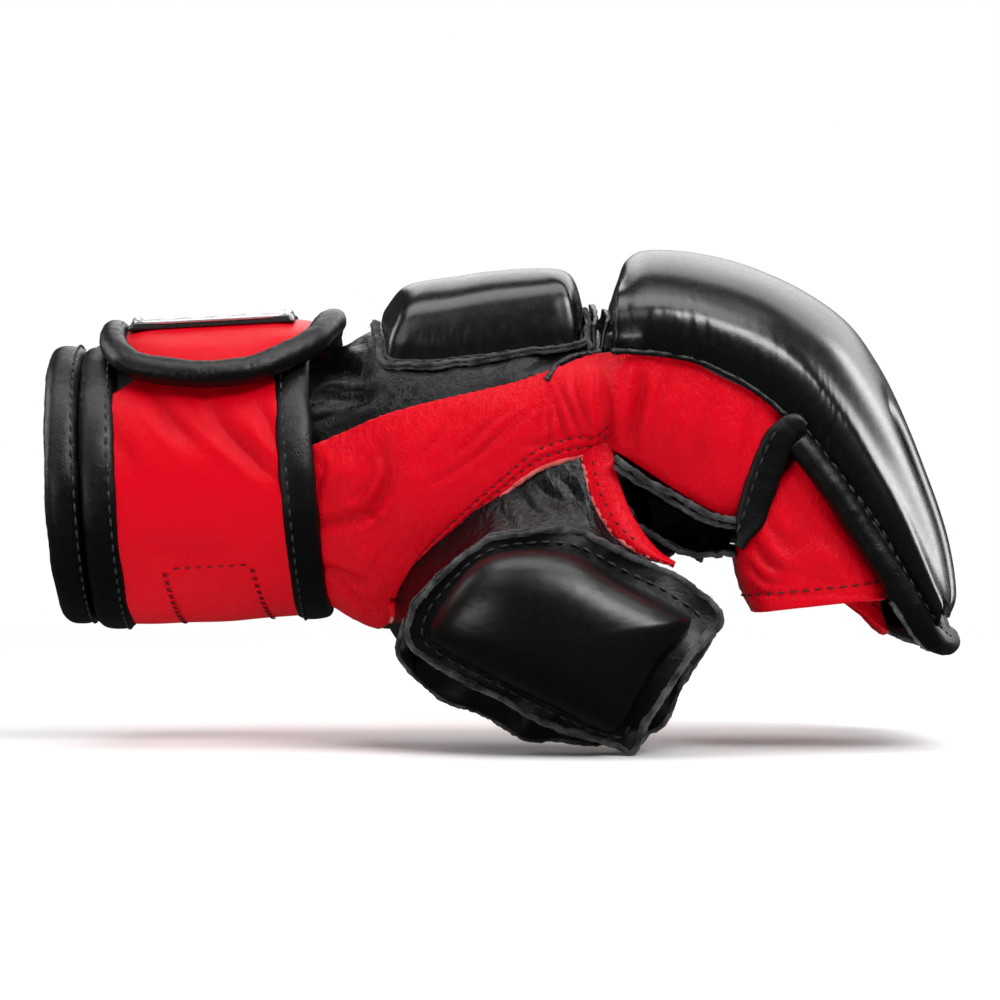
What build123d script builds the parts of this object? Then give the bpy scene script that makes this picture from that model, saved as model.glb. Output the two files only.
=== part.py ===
"""Left-hand mixed martial arts sparring glove, shaped as it is worn on a half-closed hand.

Millimetres. +X runs from the wrist to the fingers, +Y from the thumb side to the little finger,
+Z up through the back of the hand. The parts are written with the origin at the centre of the
bottom of the whole glove's bounding box.
"""

import math
import os

from build123d import *

os.makedirs("parts", exist_ok=True)

# Wrist: an elliptical column whose axis dips a little towards the cuff mouth
WRIST_FRONT_X = -46.5
WRIST_Z = 71.0
WRIST_HALF_WIDTH = 39.5
WRIST_HALF_HEIGHT = 35.5
WRIST_TILT = 3.0
CUFF_LENGTH = 66.8
STRAP_WIDTH = 59.0
BINDING_WIDTH = 8.6
STRAP_START = 50.0
STRAP_END = 333.5

# Strap tab, folded over the crown of the wrist and down the thumb side
TAB_ROOT = -23.0
TAB_REACH = 62.0
TAB_LAYERS = {"hook": (-1.0, 2.2), "panel": (2.5, 6.2), "binding": (1.5, 8.3), "patch": (6.3, 9.4)}
TAB_PIVOT_ANGLE = -25.0
TAB_PIVOT_OFFSET = 8.7
TAB_OUTLINE = [
    (-103.5, 118), (-102, 105), (-95, 98), (-83, 95.3), (-71, 94.5), (-59, 96.3), (-50, 100.6),
    (-43, 106), (-40, 118),
]
TAB_EDGE_INSET = 7.0

# Hand: (x, centre height, half height, half width) of each cross-section
HAND_STATIONS = [(-45.0, 71.0, 32.5, 36.0), (-30.0, 70.5, 40.0, 41.5), (0.0, 77.0, 34.0, 46.0), (24.0, 89.0, 20.5, 48.5)]
LEATHER = 1.6
LINING = 0.8
BACK_SEAM = [(-48, 78.6), (-25, 88), (0, 94), (14, 98), (26, 102)]
PALM_INNER_Y = -12.0
PALM_OUTER_Y = 24.0
THUMB_ARCH = [
    (-24.8, 24), (-25.5, 41), (-20, 50), (-10, 59), (0, 66), (8, 71), (21, 72.5), (22, 66), (27, 57), (27, 24),
]

# Back-of-hand pad
BACK_PAD_X = (-29.0, 20.0)
BACK_PAD_HALF_WIDTH = 37.0
BACK_PAD_THICKNESS = 13.0
BACK_PAD_FLANGE = 3.0

# Knuckle pad: (seam x, seam z, crown x, crown z, half width) of each cross-section
PAD_STATIONS = [
    (29.0, 102.0, 31.5, 124.5, 49.5),
    (34.5, 102.0, 37.5, 129.4, 51.5),
    (53.0, 97.5, 60.0, 127.0, 53.0),
    (68.0, 88.5, 84.0, 115.8, 53.0),
    (79.0, 78.5, 98.0, 100.0, 52.5),
    (92.9, 60.0, 110.3, 71.0, 51.5),
    (101.6, 45.2, 115.8, 51.0, 49.5),
    (108.0, 34.0, 117.0, 36.5, 47.0),
]
PAD_SHOULDER = 0.53
PAD_ARCH = 5.0
PAD_SKIN = 1.4
PAD_LINING = 1.2
FOAM_BASE_SHARE = 0.45
GROOVE_DEPTH = 4.5
GROOVE_WIDTH = 3.0
PIPING_RADIUS = 3.4
PIPING_PATH = [(74.5, -50.5, 78.5), (84.0, -51.0, 66.5), (95.0, -50.5, 50.0), (106.5, -45.5, 31.5), (112.0, -29.0, 28.8)]

# Finger sleeves hang from the knuckle pad, one to each finger
SLEEVE_PITCH = 25.0
SLEEVE_WALL = 1.5
SLEEVE_STEPS = [(0.0, 0.0), (4.0, -3.5), (8.0, -7.0), (11.0, -10.0)]
SLEEVE_HEM = 7.0

# Knuckle flex line: the leather hinge between the two pads
KNUCKLE_AXIS = (26.0, 103.0)

# Thumb stall: a tapered tube from the arch to the thumb opening
THUMB_BASE = Vector(2.0, -46.0, 49.0)
THUMB_MOUTH = Vector(43.0, -52.0, 20.5)
THUMB_BASE_RADII = (24.0, 14.5)
THUMB_MOUTH_RADII = (17.5, 13.5)
THUMB_WALL = 1.6
THUMB_PAD_OUTLINE = [
    (-17.6, 32.3), (-14.4, 40.6), (-5.6, 50.8), (6.1, 53.8), (18.1, 52.5), (29.8, 45.8), (44.7, 37.6), (47.3, 33.7),
    (38.9, 24.9), (31.5, 12.0), (26.5, 8.4), (12.2, 14.7), (-1, 21.4), (-13, 28.0),
]
THUMB_FLANGE_OUTLINE = [
    (-22.7, 30.3), (-20.7, 39.4), (-11.6, 48.7), (-2.7, 55.4), (12.3, 57.9), (21.2, 56.6), (30, 52.4), (47.5, 44.1),
    (53.9, 36.9), (45.1, 25.6), (36.2, 13.5), (32, 3.2), (18.5, 7.9), (7.1, 12.4), (-3, 18.3), (-15.8, 24.7),
]
THUMB_BACK_OUTLINE = [
    (-25.2, 32), (-24.7, 25), (-18.2, 18), (-5.2, 11.8), (5, 6.2), (18.7, 4.9), (34.9, 6.6), (41.5, 12), (46, 24),
    (52, 36), (40, 46), (15, 62),
]


def smooth_step(value):
    """0 below 0, 1 above 1, and a smooth rise between."""
    value = min(1.0, max(0.0, value))
    return value * value * (3 - 2 * value)


# ---------------------------------------------------------------- general helpers
def slab(points, y_low, y_high, curved=False):
    """A prism along Y from an outline of (x, z) points."""
    corners = [(x, 0, z) for x, z in points]
    line = Spline(*corners, periodic=True) if curved else Polyline(*corners, close=True)
    face = Pos(0, y_low, 0) * make_face(line)
    return extrude(face, amount=y_high - y_low, dir=(0, 1, 0))


def block(low, high):
    """A box from its lowest to its highest corner."""
    size = [b - a for a, b in zip(low, high)]
    middle = [(a + b) / 2 for a, b in zip(low, high)]
    return Pos(*middle) * Box(*size)


def largest(part):
    """The biggest of the pieces that a cut left."""
    return max(part.solids(), key=lambda solid: solid.volume)


# ---------------------------------------------------------------- wrist
def wrist_plane():
    """Local x points to the thumb side, local y up, and local z back towards the cuff mouth."""
    tilt = math.radians(WRIST_TILT)
    return Plane(origin=(WRIST_FRONT_X, 0, WRIST_Z), x_dir=(0, -1, 0), z_dir=(-math.cos(tilt), 0, -math.sin(tilt)))


def wrist_point(angle, offset):
    """The point at an angle from the crown, towards the thumb side, and an offset from the strap's outer surface."""
    turn = math.radians(angle)
    return ((WRIST_HALF_WIDTH + offset) * math.sin(turn), (WRIST_HALF_HEIGHT + offset) * math.cos(turn))


def wrist_ring(near, far, inner, outer):
    """A closed ring between two offsets, from near to far along the wrist's axis."""
    outline = Ellipse(WRIST_HALF_WIDTH + outer, WRIST_HALF_HEIGHT + outer)
    hole = Ellipse(WRIST_HALF_WIDTH + inner, WRIST_HALF_HEIGHT + inner)
    plane = wrist_plane()
    return extrude(plane * (Pos(0, 0, near) * (outline - hole)), amount=far - near, dir=plane.z_dir)


def strap_rise(angle):
    """How far the strap has climbed over the closure's layers at an angle round the wrist."""
    return 5.6 * smooth_step((angle - 245) / 85)


def wrist_band(near, far, inner, outer, start, end, rise=strap_rise, step=22):
    """An open band round the wrist from one angle to another, between two offsets."""
    count = max(3, round((end - start) / step))
    angles = [start + (end - start) * i / count for i in range(count + 1)]
    outside = [wrist_point(a, outer + rise(a)) for a in angles]
    inside = [wrist_point(a, inner + rise(a)) for a in reversed(angles)]
    edges = [Spline(*outside), Line(outside[-1], inside[0]), Spline(*inside), Line(inside[-1], outside[0])]
    plane = wrist_plane()
    return extrude(plane * (Pos(0, 0, near) * make_face(edges)), amount=far - near, dir=plane.z_dir)


def flat(_angle):
    """No rise: the band keeps its offset."""
    return 0.0


def wrist_parts():
    """The padded cuff, its lining and edge binding, the strap with both bindings, and the loop panel."""
    cuff = wrist_ring(1.0, CUFF_LENGTH, -10.0, -4.0)
    lining = wrist_ring(1.0, CUFF_LENGTH - 1, -10.8, -10.0)
    edge = wrist_ring(CUFF_LENGTH - 7.6, CUFF_LENGTH + 0.9, -11.2, -2.6) - cuff - lining
    strap = wrist_band(0.8, STRAP_WIDTH - 0.8, -3.0, 0.0, STRAP_START, STRAP_END)
    bindings = {
        "strap_binding_front": wrist_band(0, BINDING_WIDTH, -3.7, 0.8, STRAP_START, STRAP_END),
        "strap_binding_rear": wrist_band(STRAP_WIDTH - BINDING_WIDTH, STRAP_WIDTH, -3.7, 0.8, STRAP_START, STRAP_END),
    }
    made = {"wrist_cuff": cuff, "cuff_lining": lining, "cuff_edge_binding": edge, "wrist_strap": strap}
    made |= {name: band - strap for name, band in bindings.items()}
    made["loop_panel"] = wrist_band(3, STRAP_WIDTH - 3, -3.9, -1.4, -28, 48, rise=flat)
    return made


# ---------------------------------------------------------------- strap tab
def tab_layer(layer, outline_inset):
    """One layer of the tab: full width over the crown, and cut to the rounded end on the thumb side."""
    inner, outer = TAB_LAYERS[layer]
    middle_x = (TAB_OUTLINE[0][0] + TAB_OUTLINE[-1][0]) / 2
    top = 130.0
    half = (TAB_OUTLINE[-1][0] - TAB_OUTLINE[0][0]) / 2
    share = (half - outline_inset) / half
    outline = [
        (middle_x + (x - middle_x) * share, z + outline_inset * smooth_step((112 - z) / 8)) for x, z in TAB_OUTLINE
    ]
    curve = Spline(*[(x, 0, z) for x, z in outline])
    first, last = outline[0], outline[-1]
    sides = Polyline((last[0], 0, last[1]), (last[0], 0, top), (first[0], 0, top), (first[0], 0, first[1]))
    rounded = extrude(Pos(0, -60, 0) * make_face([curve, sides]), amount=85, dir=(0, 1, 0))
    band = wrist_band(-20, STRAP_WIDTH + 20, inner, outer, TAB_ROOT, TAB_REACH, rise=flat)
    return band & rounded


def tab_parts():
    """The strap's free end: leather panel, rolled edge, badge and the hook panel under it."""
    panel = tab_layer("panel", TAB_EDGE_INSET)
    hook = tab_layer("hook", TAB_EDGE_INSET + 1.5)
    binding = tab_layer("binding", 0) - tab_layer("binding", TAB_EDGE_INSET)
    patch = wrist_band(8, 47, *TAB_LAYERS["patch"], -15, 27, rise=flat) - binding
    return {"tab_panel": panel, "hook_panel": hook, "tab_binding": binding, "tab_badge": patch}


# ---------------------------------------------------------------- hand
def hand_form(inset, overrun=0.0):
    """The hand's outer form shrunk by an inset, and run past both ends where it is a cutting tool."""
    sections = []
    for i, (x, z, half_height, half_width) in enumerate(HAND_STATIONS):
        shift = {0: -overrun, len(HAND_STATIONS) - 1: overrun}.get(i, 0)
        plane = Plane(origin=(x + shift, 0, z), x_dir=(0, 1, 0), z_dir=(1, 0, 0))
        sections.append(plane * Ellipse(half_width - inset, half_height - inset))
    return loft(sections, ruled=True)


def hand_skin(outer_inset, inner_inset):
    """The layer between two insets of the hand's form, open at both ends."""
    return hand_form(outer_inset) - hand_form(inner_inset, overrun=1)


def thumb_tube(swell, extra=0.0):
    """The thumb stall's form grown by swell, and made longer by extra at both ends."""
    along = (THUMB_MOUTH - THUMB_BASE).normalized()
    across = Vector(-along.Z, 0, along.X)
    length = (THUMB_MOUTH - THUMB_BASE).length
    sections = []
    for distance in (-extra, length + extra):
        plane = Plane(origin=THUMB_BASE + along * distance, x_dir=across, z_dir=along)
        share = distance / length
        radii = [b + (m - b) * share + swell for b, m in zip(THUMB_BASE_RADII, THUMB_MOUTH_RADII)]
        sections.append(plane * Ellipse(*radii))
    return loft(sections, ruled=True)


def hand_parts():
    """The leather round the hand, its lining, the palm and the thumb gusset."""
    far = 200.0
    skin = hand_skin(0, LEATHER)
    above_seam = slab([*BACK_SEAM, (26, far), (-48, far)], -far, far)
    below_seam = slab([*BACK_SEAM, (26, 0), (-48, 0)], -far, far)
    arch = slab(THUMB_ARCH, -far, PALM_INNER_Y)
    sides = skin & below_seam
    near = sides & block((-far, -far, -far), (far, PALM_INNER_Y, far))
    middle = sides & block((-far, PALM_INNER_Y, -far), (far, PALM_OUTER_Y, far))
    outer = sides & block((-far, PALM_OUTER_Y, -far), (far, far, far))
    flex_gap = slab([(23.0, 104), (14.5, 60), (40, 60), (40, 104)], -far, far)
    web = slab([(20.5, 82), (25, 81), (26.5, 70), (31, 60), (41, 50), (40, 46.5), (27.5, 55), (22, 65)], -47.6, -46.0)
    gusset_form = hand_skin(LEATHER + 0.1, 2 * LEATHER + 0.1) & slab(
        [(-27.5, 24), (-28, 42), (-21, 52.5), (-11, 61.5), (-1, 68.5), (8, 73.5), (20, 74.5), (22, 60), (24, 24)],
        -far,
        PALM_INNER_Y - 1,
    )
    return {
        "back_shell": skin & above_seam,
        "index_side_panel": near - arch - flex_gap,
        "thumb_web": web - thumb_tube(2.2, extra=10),
        "palm_panel": middle,
        "little_side_panel": outer - flex_gap,
        "thumb_gusset": gusset_form - thumb_tube(2.2, extra=30),
        "hand_lining": hand_skin(2 * LEATHER + 0.3, 2 * LEATHER + 0.3 + LINING)
        - slab(THUMB_ARCH, -far, PALM_INNER_Y)
        - flex_gap,
    }


def back_pad_parts():
    """The pad over the metacarpals: foam block, leather cover and the raw-edged flange it is sewn down by."""
    low_x, high_x = BACK_PAD_X
    middle_x = (low_x + high_x) / 2
    tilt = 8.0

    def form(inset, top):
        lean = math.sin(math.radians(tilt))
        base = Plane(origin=(middle_x + 3, 0, 87), x_dir=(1, 0, lean), z_dir=(-lean, 0, 1))
        outline = base * RectangleRounded(high_x - low_x - 2 * inset, 2 * (BACK_PAD_HALF_WIDTH - inset), 6)
        column = extrude(outline, amount=80)
        return column & (hand_form(-top) - hand_form(-0.25, overrun=1))

    outer = form(0, BACK_PAD_THICKNESS)
    foam = form(PAD_SKIN, BACK_PAD_THICKNESS - PAD_SKIN)
    flange = form(-BACK_PAD_FLANGE, 1.4) - outer
    return {"back_pad_cover": outer - foam, "back_pad_foam": foam, "back_pad_flange": flange}


# ---------------------------------------------------------------- knuckle pad
def pad_section(station, width_inset, bottom, top_drop, height_share):
    """A cross-section of the knuckle pad: arched underneath, with steep sides and a crowned top."""
    seam_x, seam_z, crown_x, crown_z, half_width = station
    height = math.hypot(crown_x - seam_x, crown_z - seam_z)
    up = Vector(crown_x - seam_x, 0, crown_z - seam_z) / height
    plane = Plane(origin=(seam_x, 0, seam_z), x_dir=(0, 1, 0), z_dir=Vector(0, 1, 0).cross(up))
    w = half_width - width_inset
    h = (height - top_drop) * height_share
    under = [(w, bottom), (w * 0.5, bottom + PAD_ARCH * 0.8), (0, bottom + PAD_ARCH)]
    side = [(w - 0.6, h * 0.3), (w - 4.5, h * PAD_SHOULDER), (w * 0.72, h * 0.76), (w * 0.36, h * 0.93)]
    half = [*under[::-1], *side]
    other = [(-y, z) for y, z in reversed(half[1:])]
    return plane * make_face(Polyline(*half, (0, h), *other, close=True))


def pad_form(width_inset=0.0, bottom=0.0, top_drop=0.0, end_inset=0.0, height_share=1.0):
    """The knuckle pad's body, or a layer of it."""
    stations = [list(s) for s in PAD_STATIONS]
    stations[0][0] += end_inset
    stations[0][2] += end_inset
    stations[-1][1] += end_inset
    stations[-1][3] += end_inset
    sections = [pad_section(s, width_inset, bottom, top_drop, height_share) for s in stations]
    return loft(sections, ruled=True)


def pad_grooves(depth, width):
    """The three creases that part the pad's front into four finger lobes."""
    crown = [(s[2], s[3]) for s in PAD_STATIONS[4:]]
    inward = []
    for seam_x, seam_z, crown_x, crown_z, _ in PAD_STATIONS[4:]:
        share = depth / math.hypot(crown_x - seam_x, crown_z - seam_z)
        inward.append((crown_x + (seam_x - crown_x) * share, crown_z + (seam_z - crown_z) * share))
    outline = [(x + 8, z + 5) for x, z in crown] + list(reversed(inward[1:]))
    tool = slab(outline, -width / 2, width / 2)
    return [Pos(0, y, 0) * tool for y in (-SLEEVE_PITCH, 0, SLEEVE_PITCH)]


def mirrored_path(points):
    """A path along the thumb side, across the front and back along the other side."""
    across = (points[-1][0] + 1, 0, points[-1][2])
    return [*points, across, *[(x, -y, z) for x, y, z in reversed(points)]]


def knuckle_parts():
    """The knuckle pad's cover, foams and lining, its rolled edge and the finger sleeves."""
    outer = pad_form()
    for groove in pad_grooves(GROOVE_DEPTH, GROOVE_WIDTH):
        outer -= groove
    core = pad_form(PAD_SKIN, -1.5, PAD_SKIN, PAD_SKIN)
    for groove in pad_grooves(GROOVE_DEPTH + PAD_SKIN, GROOVE_WIDTH + 2 * PAD_SKIN):
        core -= groove
    cover = outer - core
    inside = core & pad_form(0, 0.1, 0, 0)
    foam_zone = pad_form(-3, 0.1 + PAD_LINING, -3, -3)
    foam = inside & foam_zone
    lining = inside - foam_zone
    low = pad_form(-4, -3, 0, -4, height_share=FOAM_BASE_SHARE)
    path = Spline(*mirrored_path(PIPING_PATH))
    piping = sweep(Plane(origin=path @ 0, z_dir=path % 0) * Circle(PIPING_RADIUS), path=path) - outer - lining
    made = {
        "knuckle_pad_cover": cover,
        "knuckle_pad_lining": lining,
        "knuckle_foam_base": foam & low,
        "knuckle_foam_top": foam - low,
        "knuckle_piping": piping,
    }
    for i, name in enumerate(["index", "middle", "ring", "little"]):
        sleeve, hem = finger_sleeve(i)
        made[f"finger_sleeve_{name}"] = sleeve - outer - lining - piping
        made[f"sleeve_hem_{name}"] = hem - outer - lining - piping
    return made


def finger_sleeve(index):
    """A leather loop round one finger, and the folded hem round its opening."""
    shift_x, shift_z = SLEEVE_STEPS[index]
    low_y = (index - 2) * SLEEVE_PITCH + 0.3
    high_y = low_y + SLEEVE_PITCH - 0.6
    palm_x, hem_z = 60.5 + shift_x, 39.5 + shift_z
    back_x = 92.6 + shift_x * 0.95
    top = (75.5, 76.5)
    wall = [(palm_x, hem_z), (palm_x, hem_z + 14), (72.5, 74.0), top, (back_x, hem_z)]
    near = slab(wall, low_y, low_y + SLEEVE_WALL)
    far = slab(wall, high_y - SLEEVE_WALL, high_y)
    palm_side = block((palm_x, low_y, hem_z), (palm_x + SLEEVE_WALL, high_y, hem_z + 14))
    back = [(back_x, hem_z), (back_x - 1.8, hem_z), (top[0] - 1.8, top[1]), top]
    sleeve = near + far + palm_side + slab(back, low_y, high_y)
    band_top = hem_z + SLEEVE_HEM
    band = sleeve & block((0, -90, hem_z - 1), (150, 90, band_top))
    return sleeve - band, band


def finger_base_parts():
    """The front of the side panels with their bindings, and the bar across the palm."""
    panel = [(27.5, 100.5), (45, 98.0), (60, 92), (70, 85.5), (63, 71), (58, 58.5), (50, 62.2), (31.0, 71.5)]
    edge = [(66.5, 86.5), (72.5, 82.5), (66, 68), (62.5, 54), (56.5, 55), (58.5, 66)]
    bar_y = 44.6
    bar = [(29.5, 73.5), (47.5, 66.5), (58.0, 60.6), (57.0, 58.0), (46.5, 63.8), (28.7, 70.8)]
    made = {"palm_bar": slab(bar, -bar_y, bar_y)}
    for name, side in (("index", -1), ("little", 1)):
        sheet = slab(panel, *sorted((side * 45.2, side * 46.8)))
        band = slab(edge, *sorted((side * 44.7, side * 47.6))) - sheet
        made[f"{name}_finger_panel"] = sheet - pad_form()
        made[f"{name}_panel_binding"] = band - pad_form()
    return made


def flex_gusset():
    """The raised strip of leather at the bottom of the groove between the two pads."""
    ridge = hand_form(-4.0, overrun=3) - hand_form(-0.25, overrun=4)
    return ridge & block((23.0, -34, 95), (24.6, 34, 140))


# ---------------------------------------------------------------- thumb
def thumb_parts():
    """The thumb stall with its pad, the pad's raw-edged flange and the panel behind them."""
    tube = thumb_tube(0)
    stall = tube - thumb_tube(-THUMB_WALL, extra=1)
    pad = slab(THUMB_PAD_OUTLINE, -74, -52, curved=True)
    crown = thumb_tube(11.0, extra=14) & pad
    core_form = slab([(x * 0.93 + 1.1, z * 0.93 + 2.2) for x, z in THUMB_PAD_OUTLINE], -73, -52, curved=True)
    outside = crown - thumb_tube(0.05, extra=30)
    foam = (thumb_tube(9.6, extra=12) & core_form) - thumb_tube(0.05, extra=30)
    flange = slab(THUMB_FLANGE_OUTLINE, -59.6, -58.0) - thumb_tube(0.05, extra=30) - crown
    back = slab(THUMB_BACK_OUTLINE, -46.4, -44.6) - thumb_tube(0.05, extra=40)
    return {
        "thumb_stall": stall,
        "thumb_pad_cover": outside - foam,
        "thumb_pad_foam": foam,
        "thumb_pad_flange": largest(flange),
        "thumb_back_panel": largest(back),
    }


def glove():
    """Every sub-part by name, still in the working frame."""
    parts = wrist_parts() | tab_parts()
    cuff_zone = wrist_ring(-2, CUFF_LENGTH, -12, 2)
    parts |= {name: part - cuff_zone for name, part in hand_parts().items()}
    parts |= back_pad_parts() | knuckle_parts() | finger_base_parts() | thumb_parts()
    parts["flex_gusset"] = largest(flex_gusset() - parts["back_pad_flange"] - parts["back_shell"])
    return parts


def main():
    parts = glove()
    box = Compound(children=[Compound(p.solids()) for p in parts.values()]).bounding_box()
    origin = Vector(box.center().X, box.center().Y, box.min.Z)
    print("origin in the working frame:", origin)
    for name, part in parts.items():
        export_step(Compound(part.solids()).moved(Location(-origin)), f"parts/{name}.step")


main()
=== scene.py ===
"""The looks of a left-hand MMA sparring glove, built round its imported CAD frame.

Shapes are worked out in the glove's pattern frame: millimetres, +X from wrist to fingers, -Y towards the
thumb, +Z up through the back of the hand, with y = 0 in the middle of the hand. place() turns them into the
row frame.
"""

import math

import bpy
import numpy as np
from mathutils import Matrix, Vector, noise


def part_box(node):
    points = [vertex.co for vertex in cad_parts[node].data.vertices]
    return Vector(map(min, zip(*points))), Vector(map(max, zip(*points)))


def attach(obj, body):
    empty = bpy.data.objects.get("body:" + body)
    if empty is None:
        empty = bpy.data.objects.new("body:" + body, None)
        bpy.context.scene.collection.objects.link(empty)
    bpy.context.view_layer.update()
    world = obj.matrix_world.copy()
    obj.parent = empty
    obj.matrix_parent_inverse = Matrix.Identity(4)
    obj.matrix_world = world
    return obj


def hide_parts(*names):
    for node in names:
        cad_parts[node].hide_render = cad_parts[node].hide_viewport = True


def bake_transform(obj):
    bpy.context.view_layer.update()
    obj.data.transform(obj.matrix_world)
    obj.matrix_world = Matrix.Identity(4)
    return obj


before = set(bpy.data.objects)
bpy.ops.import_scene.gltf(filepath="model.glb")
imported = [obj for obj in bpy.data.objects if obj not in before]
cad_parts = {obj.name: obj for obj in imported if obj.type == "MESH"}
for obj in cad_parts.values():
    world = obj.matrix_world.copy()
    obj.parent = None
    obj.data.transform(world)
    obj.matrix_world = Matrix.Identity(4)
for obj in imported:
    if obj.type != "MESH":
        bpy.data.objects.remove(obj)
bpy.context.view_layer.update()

HAND, KNUCKLE, THUMB, TAB = "hand_body", "knuckle_body", "thumb_body", "tab_body"
GUSSET_LOW, HEM_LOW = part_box("flex_gusset")[0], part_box("sleeve_hem_index")[0]
ORIGIN = np.array([23.0 - GUSSET_LOW.x * 1000, -34.0 - GUSSET_LOW.y * 1000, 39.5 - HEM_LOW.z * 1000])
MIRROR = np.array([1, -1, 1])
THUMB_SIDE = (0, -1, 0)

MATERIALS = {}


def place(points):
    """Pattern frame in millimetres to the row frame in metres."""
    return (np.asarray(points, float) - ORIGIN) / 1000


# ------------------------------------------------------------------ curves and grids
def smoothstep(t):
    t = np.clip(t, 0, 1)
    return t * t * (3 - 2 * t)


def bell(t):
    return np.exp(-(t**2))


def unit(v):
    return v / np.maximum(np.linalg.norm(v, axis=-1, keepdims=True), 1e-9)


def lattice(a, b):
    return np.meshgrid(a, b, indexing="ij")


def surface(x, y, z):
    return np.stack(np.broadcast_arrays(x, y, z), -1)


def loop(rows):
    """Rows with the first one again at the end."""
    return np.vstack([rows, rows[:1]])


def lengths(line):
    """Distance along a line at each of its points."""
    return np.concatenate([[0], np.cumsum(np.linalg.norm(np.diff(line, axis=0), axis=1))])


def distances(grid):
    """How far each point of a grid is along its row."""
    steps = np.linalg.norm(np.diff(grid, axis=1), axis=2)
    return np.concatenate([np.zeros((len(grid), 1)), np.cumsum(steps, axis=1)], 1)


def sample(line, known, at):
    """The columns of a line, given at known distances, at others."""
    return np.column_stack([np.interp(at, known, column) for column in line.T])


def spread(directions, count):
    """A count of unit directions, evenly from one or more given ones."""
    directions = np.atleast_2d(np.asarray(directions, float))
    return unit(sample(directions, np.linspace(0, 1, len(directions)), np.linspace(0, 1, count)))


def resample(line, count, closed=False):
    """Even points along a line of short straight runs."""
    line = loop(line) if closed else np.asarray(line, float)
    s = lengths(line)
    return sample(line, s, np.linspace(0, s[-1], count, endpoint=not closed))


def smooth(points, count, closed=False):
    """Even points along a smooth curve through the given ones, or 24 to each span if there is no count."""
    p = np.asarray(points, float)
    p = np.vstack([p[-1], p, p[0], p[1]]) if closed else np.vstack([2 * p[0] - p[1], p, 2 * p[-1] - p[-2]])
    t = np.linspace(0, 1, 24, endpoint=False)[:, None]
    runs = []
    for a, b, c, d in zip(p[:-3], p[1:-2], p[2:-1], p[3:]):
        square, cube = 2 * a - 5 * b + 4 * c - d, 3 * b - a - 3 * c + d
        runs.append(0.5 * (2 * b + (c - a) * t + square * t**2 + cube * t**3))
    if closed:
        return resample(np.vstack(runs), count, True)
    line = np.vstack([*runs, p[-2:-1]])
    return line if count is None else resample(line, count)


def ripple(points, size, seed):
    """Smooth noise between -1 and 1, with features of the given size in millimetres."""
    shift = Vector((seed, seed * 1.7, seed * 0.3))
    flat = [noise.noise(Vector(p) / size + shift) for p in points.reshape(-1, 3)]
    return np.array(flat).reshape(points.shape[:-1])


def power(s, n):
    """Signed power, which squares off a circle's sine and cosine."""
    return np.sign(s) * np.abs(s) ** (2 / n)


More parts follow.
